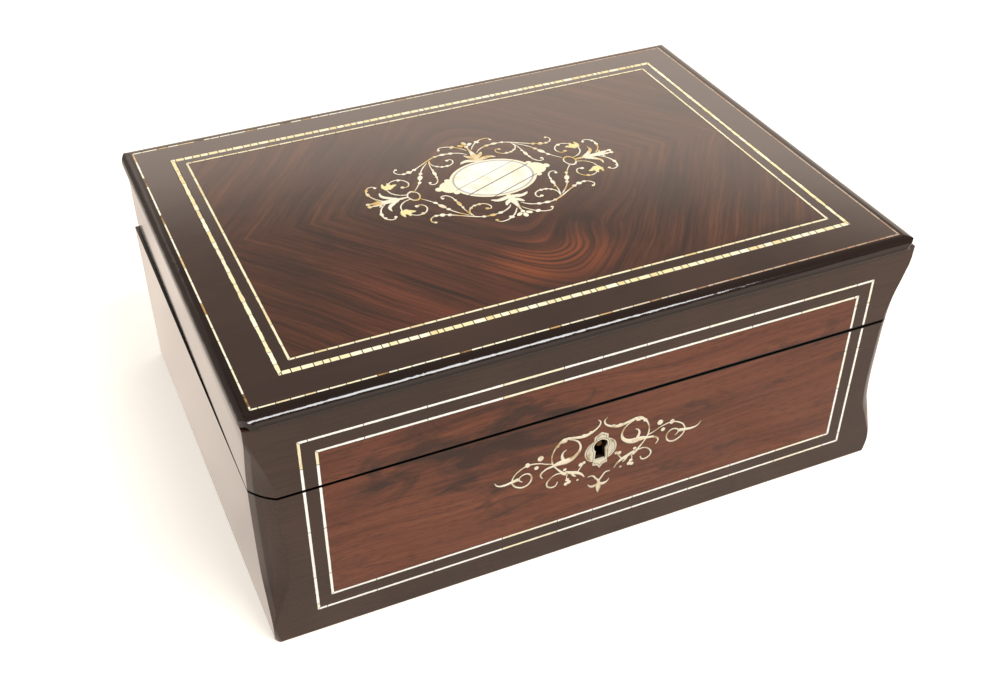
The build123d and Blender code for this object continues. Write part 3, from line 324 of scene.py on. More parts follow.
def stainedWood(name, look, grainAxis, inside=None, **surface):
    # pearwood stained black-brown and French-polished, or a paler wood: nearly even, faint short grain
    material, tree, shader, position = startMaterial(name, **surface)
    width, length = look["grain"]
    stretch = [1 / mm(width)] * 3
    stretch[grainAxis] = 1 / mm(length)
    place = addNode(tree, "Mapping", {"Vector": position, "Scale": stretch})
    grain = addNode(tree, "TexNoise", {"Vector": place, "Scale": 1.0, "Detail": 3.0})
    cloudy = addNode(tree, "TexNoise", {"Vector": position, "Scale": look["cloudScale"], "Detail": 3.0})
    blend = addNode(tree, "Math.MULTIPLY", [grain, cloudy])
    factor = addNode(tree, "MapRange", [blend, *look["warmRange"]])
    colour = addNode(tree, "Mix.RGBA", {0: factor, 6: linear(look["base"]), 7: linear(look["warm"])}, out=2)
    if inside:
        size = addNode(tree, "VectorMath.ABSOLUTE", [position])
        size = addNode(tree, "SeparateXYZ", [size], out=None)
        insideX, insideY = (
            addNode(tree, "Math.LESS_THAN", [size.outputs[axis], mm(half)])
            for axis, half in enumerate(inside["half"])
        )
        within = addNode(tree, "Math.MULTIPLY", [insideX, insideY])
        varnished = addNode(tree, "Mix.RGBA", {
            0: grain, 6: linear(inside["dark"]), 7: linear(inside["pale"]),
        }, out=2)
        colour = addNode(tree, "Mix.RGBA", {0: within, 6: colour, 7: varnished}, out=2)
        thick = addNode(tree, "Math.GREATER_THAN", [size.outputs[0], mm(inside["outerX"])])
        elsewhere, ends, edge = inside["coat"]
        rubbed = addNode(tree, "MapRange", [size.outputs[2], *(mm(v) for v in inside["rubbed"]), ends, edge])
        coat = addNode(tree, "Mix", {0: thick, 2: elsewhere, 3: rubbed})
        tree.links.new(coat, shader.inputs["Coat Weight"])
    # painted shade: the seam is painted black on the walls and bands
    if look.get("seam"):
        colour = paintSeamShade(tree, position, colour, look["seam"])
    tree.links.new(colour, shader.inputs["Base Color"])
    polishBump(tree, shader, position, grain)
    return material


sidePolish = {"Roughness": 0.25, "IOR": 1.5, "Coat Weight": 0.15, "Coat Roughness": 0.1}
# each row: nodes, material name, look, axis of the grain, look of the inside, polish
for names, title, look, grainAxis, inside, surface in (
    (("base_front_banding", "lid_front_banding"), "ebonisedFrontBands", ebonisedBands, 0, None, sidePolish),
    (("base_left_wall", "base_right_wall", "lid_left_wall", "lid_right_wall", "lid_top_board"),
     "ebonisedSideWalls", ebonisedEnds, 1, caseInside, sidePolish),
    (("base_front_wall", "base_back_wall", "lid_front_wall", "lid_back_wall"),
     "ebonisedFrontAndBackWalls", ebonisedBands, 0, caseInside, sidePolish),
    (("lid_bandings",), "ebonisedTopBands", ebonised, 0, None,
     {"Roughness": 0.14, "IOR": 1.65, "Coat Weight": 1.0, "Coat Roughness": 0.06, "Coat IOR": 1.6}),
    (("lid_edge_moulding",), "ebonisedNosing", ebonisedNosing, 0, None,
     {"Roughness": 0.12, "IOR": 1.45, "Coat Weight": 0.4, "Coat Roughness": 0.04}),
    (("bottom_board", "bed_battens", "left_partition", "right_partition", "glass_ledges"),
     "varnishedDeal", varnishedDeal, 0, None,
     {"Roughness": 0.4, "IOR": 1.5, "Coat Weight": 0.2, "Coat Roughness": 0.3}),
):
    setSlots(names, stainedWood(title, look, grainAxis, inside, **surface))
print("wood materials set")

# pairs are for the front and back runs, then for the ends: strips' mean length, dark mastic between
# them and ragged mastic along their edges, all in mm; centre and half, the outer ring's middle and
# outer half sizes, set the mitres; apart is the step from one ring to the next, past them if only one
wideLine = {
    "segment": (3.9, 8.5), "joint": (0.42, 0.26), "ragged": (0.1, 0.42), "width": 2.4, "apart": 50.0,
    "centre": (0.0, 0.75), "half": (128.7, 88.55),
    "shades": [(0.0, "#E6D49C"), (0.3, "#EDE0B4"), (0.6, "#F2E9CC"), (0.9, "#E0CB94")],
}
innerLine = {
    "segment": (6.5, 13.0), "joint": (0.36, 0.26), "ragged": (0.08, 0.12), "width": 1.2, "apart": 50.0,
    "centre": (0.0, 1.7), "half": (122.4, 82.1),
    "shades": [(0.0, "#E4D4A4"), (0.3, "#ECE0BC"), (0.7, "#E9DBB4"), (0.95, "#D8BE88")],
}
frontLine = {
    "segment": (24.0, 24.0), "joint": (0.3, 0.3), "ragged": (0.14, 0.1), "width": 1.3, "apart": 6.55,
    "centre": (0.0, 59.2), "half": (129.5, 46.6),
    "shades": [(0.0, "#F6F3E8"), (0.6, "#FEFDF6"), (0.86, "#F2E7BC"), (0.98, "#B98F45")],
}
edgeLine = {
    "segment": (5.5, 9.0), "joint": (0.36, 0.3), "ragged": (0.05, 0.08), "width": 0.9, "apart": 50.0,
    "centre": (-0.6, 0.0), "half": (143.2, 103.0),
    "shades": [(0.0, "#F4ECD6"), (0.55, "#EDE1BC"), (0.8, "#C69A58"), (0.95, "#5E4028")],
    "dulled": ("#A07A62", -30.0, 60.0, 0.8),  # pinkish and duller towards the right: colour, from, to, share
}
stripWork = {
    "mitre": 0.16,         # half the mastic line in a mitre, mm
    "shift": (37.3, 91.7),  # so that facing sides aren't cut alike
    "sheenScale": 330.0,
    "sheenShare": 0.3,
    "raggedScale": 240.0,
    "mastic": "#2A1C12",
}


def inlaidLine(name, look, upAxis, **surface):
    # strips of mother-of-pearl and brass laid end to end, each with its own sheen, mastic in the joints
    material, tree, shader, position = startMaterial(name, **surface)
    parts = addNode(tree, "SeparateXYZ", [position], out=None)
    reaches = []
    for axis, middle, half in zip((0, upAxis), look["centre"], look["half"]):
        offset = addNode(tree, "Math.SUBTRACT", [parts.outputs[axis], mm(middle)])
        offset = addNode(tree, "Math.ABSOLUTE", [offset])
        reaches.append(addNode(tree, "Math.SUBTRACT", [offset, mm(half)]))
    onSide = addNode(tree, "Math.GREATER_THAN", [reaches[0], reaches[1]])
    mitre = addNode(tree, "Math.COMPARE", [reaches[0], reaches[1], mm(stripWork["mitre"])])
    run = addNode(tree, "Mix", {0: onSide, 2: parts.outputs[0], 3: parts.outputs[upAxis]})
    sway = addNode(tree, "Mix", {0: onSide, 2: parts.outputs[upAxis], 3: parts.outputs[0]})
    sway = addNode(tree, "Math.SIGN", [sway])
    sway = addNode(tree, "Math.MULTIPLY_ADD", [sway, stripWork["shift"][0], stripWork["shift"][1]])
    perMetre, half, ragged = (
        addNode(tree, "Mix", {0: onSide, 2: pair[0], 3: pair[1]}) for pair in (
            [1 / mm(v) for v in look["segment"]], [mm(v) / 2 for v in look["joint"]],
            [mm(v) * 2 for v in look["ragged"]],
        )
    )
    length = addNode(tree, "Math.MULTIPLY_ADD", [run, perMetre, sway])
    gap = addNode(tree, "TexVoronoi", {"W": length, "Scale": 1.0},
                  voronoi_dimensions="1D", feature="DISTANCE_TO_EDGE")
    cell = addNode(tree, "TexVoronoi", {"W": length, "Scale": 1.0},
                   voronoi_dimensions="1D", feature="F1", out="Color")
    shade = addNode(tree, "SeparateColor", [cell])
    sheen = addNode(tree, "TexNoise", {"Vector": position, "Scale": stripWork["sheenScale"], "Detail": 2.0})
    shade = addNode(tree, "Math.MULTIPLY_ADD", [sheen, stripWork["sheenShare"], shade])
    shade = addNode(tree, "Math.SUBTRACT", [shade, stripWork["sheenShare"] / 2])
    colour = addNode(tree, "ValToRGB", [shade], stops=look["shades"])
    if look.get("dulled"):
        dull, start, end, share = look["dulled"]
        dullerRightwards = addNode(tree, "MapRange", [parts.outputs[0], mm(start), mm(end), 0.0, share])
        colour = addNode(tree, "Mix.RGBA", {0: dullerRightwards, 6: colour, 7: linear(dull)}, out=2)
    half = addNode(tree, "Math.MULTIPLY", [perMetre, half])
    joint = addNode(tree, "Math.LESS_THAN", [gap, half])
    joint = addNode(tree, "Math.MAXIMUM", [joint, mitre])
    # distance from the middle of the strip's width, against a half width that wanders
    outer = addNode(tree, "Math.MAXIMUM", [reaches[0], reaches[1]])
    halfWidth = mm(look["width"]) / 2
    for step, value in (("MULTIPLY", -1.0), ("MODULO", mm(look["apart"])), ("SUBTRACT", halfWidth)):
        outer = addNode(tree, "Math." + step, [outer, value])
    outer = addNode(tree, "Math.ABSOLUTE", [outer])
    wander = addNode(tree, "TexNoise", {"Vector": position, "Scale": stripWork["raggedScale"], "Detail": 2.0})
    ragged = addNode(tree, "Math.MULTIPLY", [ragged, wander])
    room = addNode(tree, "Math.SUBTRACT", [halfWidth, ragged])
    edge = addNode(tree, "Math.GREATER_THAN", [outer, room])
    joint = addNode(tree, "Math.MAXIMUM", [joint, edge])
    colour = addNode(tree, "Mix.RGBA", {0: joint, 6: colour, 7: linear(stripWork["mastic"])}, out=2)
    # painted shade: the lines are painted black where they cross the seam
    if upAxis == 2:
        colour = paintSeamShade(tree, position, colour, seamShade["front"])
    tree.links.new(colour, shader.inputs["Base Color"])
    return material


pearlGloss = {"Roughness": 0.25, "IOR": 1.55, "Coat Weight": 0.5, "Coat Roughness": 0.1}
for names, title, look, upAxis in (
    (["lid_wide_line"], "pearlWideLine", wideLine, 1),
    (["lid_inner_line"], "pearlInnerLine", innerLine, 1),
    (["base_front_lines", "lid_front_lines"], "pearlFrontLines", frontLine, 2),
    (["lid_edge_line"], "pearlAndBrassEdgeLine", edgeLine, 1),
):
    setSlots(names, inlaidLine(title, look, upAxis, **pearlGloss))

# plaque: sheets of mother-of-pearl joined on a slant, with an engraved line round the oval
plaque = {
    "centre": (3.9, 12.5), "radii": (20.8, 16.5), "slant": 22.5,
    "joints": ((4.1, 0.24), (-2.95, 0.5), (-12.2, 0.46)),   # place and width, mm
    "ring": 0.91, "ringWidth": 0.045, "ringShare": 0.5, "rimRange": (-0.02, 0.06),  # shares of the radii
    "sheets": [(0.3, "#E2D8BA"), (0.48, "#E6E2D4"), (0.7, "#EAE7DE")], "mottleScale": 160.0,
    "rim": "#E9DEBE", "mastic": "#2E2216",
}
material, tree, shader, position = startMaterial("motherOfPearlPlaque", **{
    "Roughness": 0.28, "IOR": 1.55, "Coat Weight": 0.3, "Coat Roughness": 0.12,
})
middle = addNode(tree, "VectorMath.SUBTRACT", [position, (*(mm(v) for v in plaque["centre"]), 0)])
slant = math.radians(plaque["slant"])
height = addNode(tree, "VectorMath.DOT_PRODUCT", [
    middle, (-math.sin(slant) / mm(1), math.cos(slant) / mm(1), 0),
], out="Value")
oval = addNode(tree, "VectorMath.MULTIPLY", [middle, (*(1 / mm(v) for v in plaque["radii"]), 0)])
oval = addNode(tree, "VectorMath.LENGTH", [oval], out="Value")
rimMask = addNode(tree, "MapRange", [oval, *(plaque["ring"] + v for v in plaque["rimRange"])])
mottle = addNode(tree, "TexNoise", {"Vector": position, "Scale": plaque["mottleScale"], "Detail": 3.0})
colour = addNode(tree, "ValToRGB", [mottle], stops=plaque["sheets"])
colour = addNode(tree, "Mix.RGBA", {0: rimMask, 6: colour, 7: linear(plaque["rim"])}, out=2)
joints = [
    addNode(tree, "Math.COMPARE", [height, offset, width / 2])
    for offset, width in plaque["joints"]
]
lines = joints[0]
for joint in joints[1:]:
    lines = addNode(tree, "Math.MAXIMUM", [lines, joint])
within = addNode(tree, "Math.LESS_THAN", [oval, 1.0])
lines = addNode(tree, "Math.MULTIPLY", [lines, within])
ring = addNode(tree, "Math.COMPARE", [oval, plaque["ring"], plaque["ringWidth"] / 2])
ring = addNode(tree, "Math.MULTIPLY", [ring, plaque["ringShare"]])
lines = addNode(tree, "Math.MAXIMUM", [lines, ring])
colour = addNode(tree, "Mix.RGBA", {0: lines, 6: colour, 7: linear(plaque["mastic"])}, out=2)
tree.links.new(colour, shader.inputs["Base Color"])
setSlots(["lid_cartouche"], material)


pearlCut = {"patches": (0.34, 0.52, 0.66), "fileScale": 900.0, "fileStrength": 0.3, "fileDepth": 0.1}


def pearlSheet(name, pale, golden, scale, **surface):
    # thin sawn mother-of-pearl with warm brass-coloured patches and fine file marks
    material, tree, shader, position = startMaterial(name, **surface)
    patch = addNode(tree, "TexNoise", {"Vector": position, "Scale": scale, "Detail": 3.0})
    stops = list(zip(pearlCut["patches"], (pale, pale, golden)))
    tree.links.new(addNode(tree, "ValToRGB", [patch], stops=stops), shader.inputs["Base Color"])
    fine = addNode(tree, "TexNoise", {"Vector": position, "Scale": pearlCut["fileScale"], "Detail": 2.0})
    bump = addNode(tree, "Bump", {
        "Height": fine, "Strength": pearlCut["fileStrength"], "Distance": mm(pearlCut["fileDepth"]),
    })
    tree.links.new(bump, shader.inputs["Normal"])
    return material


scrollPearl = pearlSheet("pearlAndBrassScrolls", "#EBDFC4", "#CDA85E", 110.0, **pearlGloss)
goldenPearl = pearlSheet("goldenPearlTulips", "#E6D697", "#D2B565", 150.0, **pearlGloss)
frontScrollPearl = pearlSheet("pearlFrontScrolls", "#EADFC4", "#B09058", 150.0, **pearlGloss)
escutcheonPearl = pearlSheet("engravedPearlEscutcheon", "#D8D0B8", "#B5A47C", 240.0, **pearlGloss)
# the mastic is glue thick with dark wood dust, so it looks like stained wood without a grain
inlayMastic = stainedWood("darkInlayMastic", masticLook, 0, **{
    "Roughness": 0.3, "Coat Weight": 0.4, "Coat Roughness": 0.15,
})
setSlots(["keyhole_escutcheon"], escutcheonPearl)
print("inlay materials set")


metalWork = {
    "tarnishScale": 90.0, "tarnishRange": (0.35, 0.6), "roughness": (0.2, 0.42),
    "markScale": 1500.0, "markStrength": 0.15, "markDepth": 0.05,
}


def workedMetal(name, bright, dull, **surface):
    # lacquered or bare metal with uneven tarnish and fine tool marks
    material, tree, shader, position = startMaterial(name, **{"Metallic": 1.0, **surface})
    tarnish = addNode(tree, "TexNoise", {
        "Vector": position, "Scale": metalWork["tarnishScale"], "Detail": 4.0,
    })
    stops = list(zip(metalWork["tarnishRange"], (dull, bright)))
    tree.links.new(addNode(tree, "ValToRGB", [tarnish], stops=stops), shader.inputs["Base Color"])
    rough = addNode(tree, "MapRange", [tarnish, 0.0, 1.0, *metalWork["roughness"]])
    tree.links.new(rough, shader.inputs["Roughness"])
    marks = addNode(tree, "TexNoise", {"Vector": position, "Scale": metalWork["markScale"], "Detail": 1.0})
    bump = addNode(tree, "Bump", {
        "Height": marks, "Strength": metalWork["markStrength"], "Distance": mm(metalWork["markDepth"]),
    })
    tree.links.new(bump, shader.inputs["Normal"])
    return material


brass = workedMetal("lacqueredBrass", "#D8B36A", "#B08A48")
steel = workedMetal("polishedSteel", "#B9BCC0", "#8E9196")
agedBrass = workedMetal("agedLockBrass", "#6E5230", "#463320")
setSlots([
    "hinge_base_leaves", "hinge_lid_leaves", "base_brass_screws", "lid_brass_screws",
    "lock_strike_plate", "pinned_cylinder", "great_wheel", "spring_barrel", "winding_lever",
    "barrel_stands", "cylinder_stand", "governor_frame", "comb_base", "governor_fly",
], brass)
setSlots([
    "steel_comb", "second_wheel", "third_wheel", "endless_screw", "cylinder_arbor", "ratchet_wheel",
    "ratchet_click", "winding_arbor", "mainspring", "lock_bolt", "bedplate_screws", "comb_screws",
    "hinge_pins", "stop_lever", "stop_lever_post",
], steel)
setSlots(["lock_body"], agedBrass)

# bedplate: sand-cast iron under black japan paint, slightly pebbled
material, tree, shader, position = startMaterial("japannedCastIron", **{"Roughness": 0.5, "IOR": 1.5})
sand = addNode(tree, "TexNoise", {"Vector": position, "Scale": 700.0, "Detail": 3.0})
colour = addNode(tree, "ValToRGB", [sand], stops=[(0.3, "#2A2622"), (0.7, "#3B352E")])
tree.links.new(colour, shader.inputs["Base Color"])
bump = addNode(tree, "Bump", {"Height": sand, "Strength": 0.5, "Distance": mm(0.3)})
tree.links.new(bump, shader.inputs["Normal"])
setSlots(["bedplate"], material)

# inner lid: drawn window glass with a faint film of dust
material, tree, shader, position = startMaterial("windowGlass", **{
    "Base Color": (0.95, 0.98, 0.97, 1), "Roughness": 0.0, "IOR": 1.5, "Transmission Weight": 1.0,
})
dust = addNode(tree, "TexNoise", {"Vector": position, "Scale": 60.0, "Detail": 5.0})
film = addNode(tree, "MapRange", [dust, 0.5, 0.8, 0.0, 0.06])
tree.links.new(film, shader.inputs["Roughness"])
setSlots(["inner_glass"], material)
print("metal and glass set")


sawnWork = {"rise": 0.045, "bedRise": 0.015, "press": 0.6}  # mm


def inlay(name, drawing, copies, place, body, material, rise, grow=0.0):
    # Each stroke is a list of (x, y, half width) in mm, laid flat; a bead is (x, y, long, wide, angle).
    # copies mirrors the drawing; place carries it from the drawing to the surface; grow widens it by so
    # many mm all round, for the mastic that the pearl is bedded in.
    curve = bpy.data.curves.new(name + "Lines", "CURVE")
    curve.dimensions = "3D"
    curve.resolution_u = 5
    curve.bevel_depth = 1.0
    curve.bevel_resolution = 1
    curve.use_fill_caps = True
    for signX, signY in copies:
        for stroke in drawing["strokes"]:
            spline = curve.splines.new("BEZIER")
            spline.bezier_points.add(len(stroke) - 1)
            for point, (x, y, half) in zip(spline.bezier_points, stroke):
                point.co = (x * signX, y * signY, 0)
                point.radius = half + grow
                point.handle_left_type = point.handle_right_type = "AUTO"
    lines = bpy.data.objects.new(name + "Lines", curve)
    addToScene(lines)
    bpy.context.view_layer.update()
    lineMesh = bpy.data.meshes.new_from_object(lines.evaluated_get(bpy.context.evaluated_depsgraph_get()))
    bpy.data.objects.remove(lines)
    work = bmesh.new()
    work.from_mesh(lineMesh)
    bpy.data.meshes.remove(lineMesh)
    for signX, signY in copies:
        for x, y, half, wide, angle in drawing["beads"]:
            direction = Matrix.Rotation(math.radians(angle) * signX * signY, 4, "Z")
            bmesh.ops.create_uvsphere(
                work, u_segments=12, v_segments=6, radius=1.0,
                matrix=Matrix.Translation((x * signX, y * signY, 0)) @ direction
                @ Matrix.Diagonal((half + grow, wide + grow, min(half, wide) + grow, 1)),
            )
    # the sawn inlay is nearly flat: its section is pressed down to a low dome
    for vertex in work.verts:
        vertex.co.z = math.tanh(vertex.co.z / sawnWork["press"]) * rise
    bmesh.ops.transform(work, matrix=place, verts=work.verts)
    bmesh.ops.recalc_face_normals(work, faces=work.faces)
    for face in work.faces:
        face.smooth = True
    piece = addPiece(name, work, material)
    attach(piece, body)


def bedInlay(name, drawing, copies, place, body, pearl, grow):
    # the pearl, and the wider dark mastic that shows as a thin line all round it
    inlay(name, drawing, copies, place, body, pearl, sawnWork["rise"])
    inlay(name + "Bed", drawing, copies, place, body, inlayMastic, sawnWork["bedRise"], grow)


# one quarter of the lid's ornament, measured from its centre, drawn towards the lower left
lidOrnament = {
    "centre": (3.8, 12.2), "faceZ": 121.93, "bedding": 0.13,
    "strokes": [
        # main branch from the palmette's stem out to the far curl
        [(-2.4, -24.6, 0.2), (-4.6, -26.9, 0.45), (-8.5, -28.8, 0.4), (-12.9, -29.4, 0.4),
         (-17.4, -29, 0.35), (-21.2, -27.3, 0.5), (-25.6, -24.6, 0.4), (-30, -22, 0.4),
         (-33.6, -20.3, 0.35), (-37.2, -20, 0.35), (-39.6, -21.8, 0.4), (-39.6, -24.3, 0.35),
         (-38.2, -25, 0.3)],
        # inward spiral at the branching
        [(-21.2, -26.6, 0.3), (-21.6, -23, 0.4), (-19.6, -19.9, 0.4), (-16.2, -18.6, 0.4),
         (-13, -19.2, 0.4), (-11.2, -21.4, 0.4), (-11.8, -23.8, 0.35), (-13.6, -23.6, 0.3)],
        # upright tendril beside the plaque
        [(-21.8, -25.8, 0.3), (-22.8, -20.5, 0.35), (-23.2, -14.5, 0.45), (-23.7, -10.5, 0.35),
         (-24.6, -7.4, 0.4), (-26.6, -5.6, 0.4), (-28.6, -6.4, 0.35), (-28.4, -7.8, 0.3)],
        # slanting tendril to the ring
        [(-22.8, -25.2, 0.3), (-26.6, -21.2, 0.4), (-29.4, -16.8, 0.35), (-32, -11, 0.35),
         (-34.8, -6.6, 0.3), (-37.2, -3.8, 0.3)],
        # hook under the palmette
        [(-1.2, -28.4, 0.3), (-3.4, -31.6, 0.4), (-6.2, -34.2, 0.4), (-9.6, -35.8, 0.4),
         (-12.8, -35.5, 0.35), (-13.6, -33.6, 0.3)],
        # fronds of the palmette
        [(-0.6, -17.8, 1.2), (-3.4, -18.8, 1.5), (-6.4, -19, 1.1), (-8.9, -17.6, 0.4)],
        [(-0.8, -20.6, 1.2), (-2.8, -22.2, 1.3), (-4.4, -24.4, 0.5)],
        # ring's stem and its horned leaf
        [(-41.6, -0.2, 0.35), (-46, -0.3, 0.6), (-49, -0.4, 1.1), (-53, -0.6, 1), (-57, -0.9, 1.1),
         (-60.2, -1.1, 0.4)],
        [(-46.8, -0.8, 0.7), (-50.4, -2.8, 1.2), (-52.8, -5.6, 0.9), (-52.6, -8.4, 0.3)],
        # long S at the end
        [(-53.6, -1.6, 0.35), (-56.2, -4.4, 0.4), (-57.8, -8.4, 0.5), (-57.8, -12, 0.45),
         (-56, -14.6, 0.4), (-53.6, -14.8, 0.35), (-52.6, -13.2, 0.3)],
        [(-54.8, -0.8, 0.5), (-56, -2.6, 0.5), (-56.6, -3.2, 0.2)],
        # curl with the tulip
        [(-41.2, -1.8, 0.35), (-45, -3.2, 0.4), (-47.8, -6.2, 0.4), (-48.6, -9.8, 0.35)],
        [(-46.6, -14, 0.3), (-43.6, -16, 0.35), (-40.4, -15.8, 0.4), (-38, -13.4, 0.4),
         (-37.6, -10.4, 0.4), (-39.4, -8.4, 0.35), (-41.4, -8.6, 0.3)],
    ],
    "beads": [
        (-9.4, -29, 1.3, 1, 15), (-13.3, -29.4, 1.7, 1, 0), (-17.4, -29, 0.9, 0.9, 0),
        (-30.6, -21.6, 1.1, 1, 30), (-33.6, -20.4, 1.4, 1.3, 30), (-36.4, -19.9, 1, 0.9, 0),
        (-38.6, -24.9, 0.8, 0.8, 0), (-13.4, -23.4, 0.9, 0.9, 0), (-17.6, -18.9, 0.9, 0.8, 0),
        (-15.2, -18.7, 1, 0.9, 0), (-19.8, -20.2, 0.8, 0.7, 0), (-23.2, -14.6, 2.2, 0.95, 92),
        (-23.6, -11.2, 0.9, 0.7, 92), (-22.8, -18, 0.8, 0.7, 92), (-28.2, -7.6, 0.8, 0.8, 0),
        (-30.8, -13.6, 2.3, 1.25, -62), (-29.2, -17, 1, 1, -60), (-32.6, -9.6, 1.2, 0.9, -62),
        (-6.4, -34.2, 1.4, 1.1, -35), (-13.4, -33.9, 0.8, 0.8, 0), (-60.6, -1.1, 1.1, 1.1, 0),
        (-57.9, -9.2, 1.5, 0.9, 92), (-57.3, -12.8, 0.9, 0.7, 60), (-52.9, -13.5, 0.8, 0.8, 0),
        (-40.8, -15.7, 1, 1, 0), (-41.2, -8.9, 1, 1, 0), (-7.4, -18.6, 1, 0.9, 0),
    ],
}
lidTulips = {
    "strokes": [
        [(-48.6, -9.8, 0.7), (-49.2, -12.6, 1.2), (-48.9, -15.4, 0.3)],
        [(-47.4, -10.2, 1.2), (-46.6, -12.6, 1.6), (-46.4, -15.2, 0.4)],
        [(-46.4, -10.6, 0.9), (-44.4, -12.2, 1.1), (-42.9, -12.4, 0.3)],
    ],
    "beads": [(-47.3, -11.4, 2.2, 1.7, 70)],
}
# pieces on the ornament's own centre lines, mirrored once only
lidSpine = {
    "strokes": [
        [(0, -16.4, 1.3), (0, -19.4, 2), (0, -22.8, 1.8), (0, -26, 1), (0, -29.4, 0.5), (0, -31.6, 0.4)],
    ],
    "beads": [
        (0, -35, 1.9, 1.2, 90), (-2.3, -33.6, 1.7, 1.1, 35), (2.3, -33.6, 1.7, 1.1, -35),
        (0, -31.9, 1.1, 1.1, 0),
    ],
}
lidRings = {
    "strokes": [
        [(-39.2, 4, 0.65), (-37, 2.2, 0.4), (-36.8, -1.6, 0.4), (-39.2, -4, 0.65), (-41.6, -1.6, 0.4),
         (-41.4, 2.2, 0.4), (-39.2, 4, 0.65)],
    ],
    "beads": [],
}
lidCentre = [mm(v) for v in (*lidOrnament["centre"], lidOrnament["faceZ"])]
lidPlace = Matrix.Translation(lidCentre) @ Matrix.Scale(mm(1), 4)
fourWays = [(1, 1), (-1, 1), (1, -1), (-1, -1)]
for name, drawing, copies, pearl in (
    ("lidScrolls", lidOrnament, fourWays, scrollPearl), ("lidTulips", lidTulips, fourWays, goldenPearl),
    ("lidPalmettes", lidSpine, [(1, 1), (1, -1)], scrollPearl),
    ("lidRings", lidRings, fourWays[:2], scrollPearl),
):
    bedInlay(name, drawing, copies, lidPlace, "lid", pearl, lidOrnament["bedding"])

# left half of the ornament round the keyhole, from the front's centre line and the floor
frontOrnament = {
    "bedding": 0.16,
    "strokes": [
        # crossing at the top and the leafy arm down to the spiral
        [(-2.2, 72.2, 0.2), (-1, 70.6, 0.4), (-1.2, 69, 0.45), (-2.6, 67.4, 0.5), (-5, 66, 0.7),
         (-8, 65.2, 0.95), (-11.5, 65.6, 0.75), (-15, 66.6, 0.55)],
        [(-15, 66.6, 0.6), (-18, 66.2, 1), (-20.6, 64.4, 0.6), (-22.4, 61.6, 0.4), (-23.2, 58, 0.4),
         (-22.6, 54.6, 0.45), (-21, 51.8, 0.4), (-18.8, 49.4, 0.35)],
        # spiral beside the plate, thick below
        [(-15.6, 66, 0.35), (-12.4, 64.4, 0.45), (-10.2, 61.6, 0.5), (-10, 58.4, 0.7), (-12.2, 55.4, 1.1),
         (-16, 54, 1.6), (-19.6, 54, 1.3), (-23, 53.4, 0.7), (-26.2, 52.6, 0.55), (-28.2, 50.4, 0.45),
         (-27.2, 48.2, 0.25)],
        [(-17.6, 55, 0.9), (-18.4, 57.6, 0.7), (-17.8, 59.6, 0.4), (-16.4, 60.6, 0.25)],
        # tendril with berries to the outer spiral
        [(-22.8, 54.8, 0.4), (-26, 56, 0.35), (-29, 57.4, 0.35), (-34, 58.2, 0.4), (-38, 56.8, 0.4),
         (-41, 53.6, 0.4), (-41.2, 50.4, 0.4), (-38.6, 47.4, 0.5), (-35.2, 46.8, 0.5), (-32.6, 49.2, 0.5),
         (-33, 52.6, 0.45), (-36, 53.8, 0.4), (-38.2, 51.6, 0.4), (-36.6, 49.8, 0.25)],
        [(-38.4, 52, 1), (-42, 51.4, 0.8), (-45, 51, 0.65), (-48, 51.8, 0.4), (-49.4, 53.8, 0.2)],
        # lower branch, its spiral and leaves
        [(-21, 51.8, 0.4), (-19, 49.2, 0.5), (-17.4, 47.4, 0.9), (-16, 46, 0.6)],
        [(-17.6, 47.6, 0.35), (-20.8, 48.2, 0.4), (-24, 46.4, 0.4), (-25.2, 43.6, 0.45),
         (-23.6, 41.6, 0.5), (-21, 41.6, 0.4), (-20, 43.6, 0.3)],
        [(-16.6, 48, 0.6), (-14, 46.6, 0.9), (-11, 45.4, 0.9), (-8.6, 43.6, 0.6), (-7.2, 41.6, 0.3)],
        [(-13.2, 46.2, 0.5), (-12.6, 44.6, 0.6), (-11.2, 43.4, 0.25)],
        [(-10.6, 45.8, 0.4), (-9.4, 47.6, 0.35), (-8.6, 48.8, 0.3)],
        [(-15.4, 46.2, 0.3), (-15.8, 44.2, 0.3), (-15.2, 43, 0.3)],
        # foot
        [(-5.4, 40.6, 0.3), (-3.2, 40.6, 0.45), (-1.4, 38.4, 0.5), (0, 36.6, 0.6)],
        [(-0.4, 34.6, 0.9), (-2.8, 34.2, 0.75), (-4.4, 35, 0.45), (-5.2, 36.2, 0.2)],
    ],
    "beads": [
        (-28.4, 60, 1.5, 1.5, 0), (-34.4, 58.4, 1.2, 1.4, 20), (-30.2, 55.4, 1.1, 1.1, 0),
        (-20.8, 64, 1, 0.9, 0), (-17.6, 66, 1.7, 1.4, 10), (-9.2, 49.4, 1.2, 1.1, 0),
        (-7.8, 50, 0.9, 0.9, 0), (-14.6, 41.4, 1.1, 1.1, 0), (-16, 40.8, 1, 1, 0), (-15.4, 43, 1, 0.9, 0),
        (-16.8, 49.4, 0.9, 0.8, 0), (-10.4, 41, 0.6, 0.6, 0), (-8.4, 65.4, 1.4, 1.1, -15),
        (-5.2, 66.2, 1, 0.8, -25), (-12.6, 45.6, 1.2, 0.9, 20),
    ],
}
frontFoot = {
    "strokes": [[(0, 37, 0.5), (0, 34.8, 1.2), (0, 32.4, 1.3), (0, 30.4, 0.6), (0, 29.6, 0.2)]],
    "beads": [],
}
frontTurn = Matrix(((1, 0, 0, 0), (0, 0, -1, 0), (0, 1, 0, 0), (0, 0, 0, 1)))
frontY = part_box("base_front_panel")[0].y
frontPlace = Matrix.Translation((0, frontY - mm(0.01), 0)) @ frontTurn @ Matrix.Scale(mm(1), 4)
for name, drawing, ways in (("frontScrolls", frontOrnament, 2), ("frontFoot", frontFoot, 1)):
    bedInlay(name, drawing, fourWays[:ways], frontPlace, "case", frontScrollPearl, frontOrnament["bedding"])

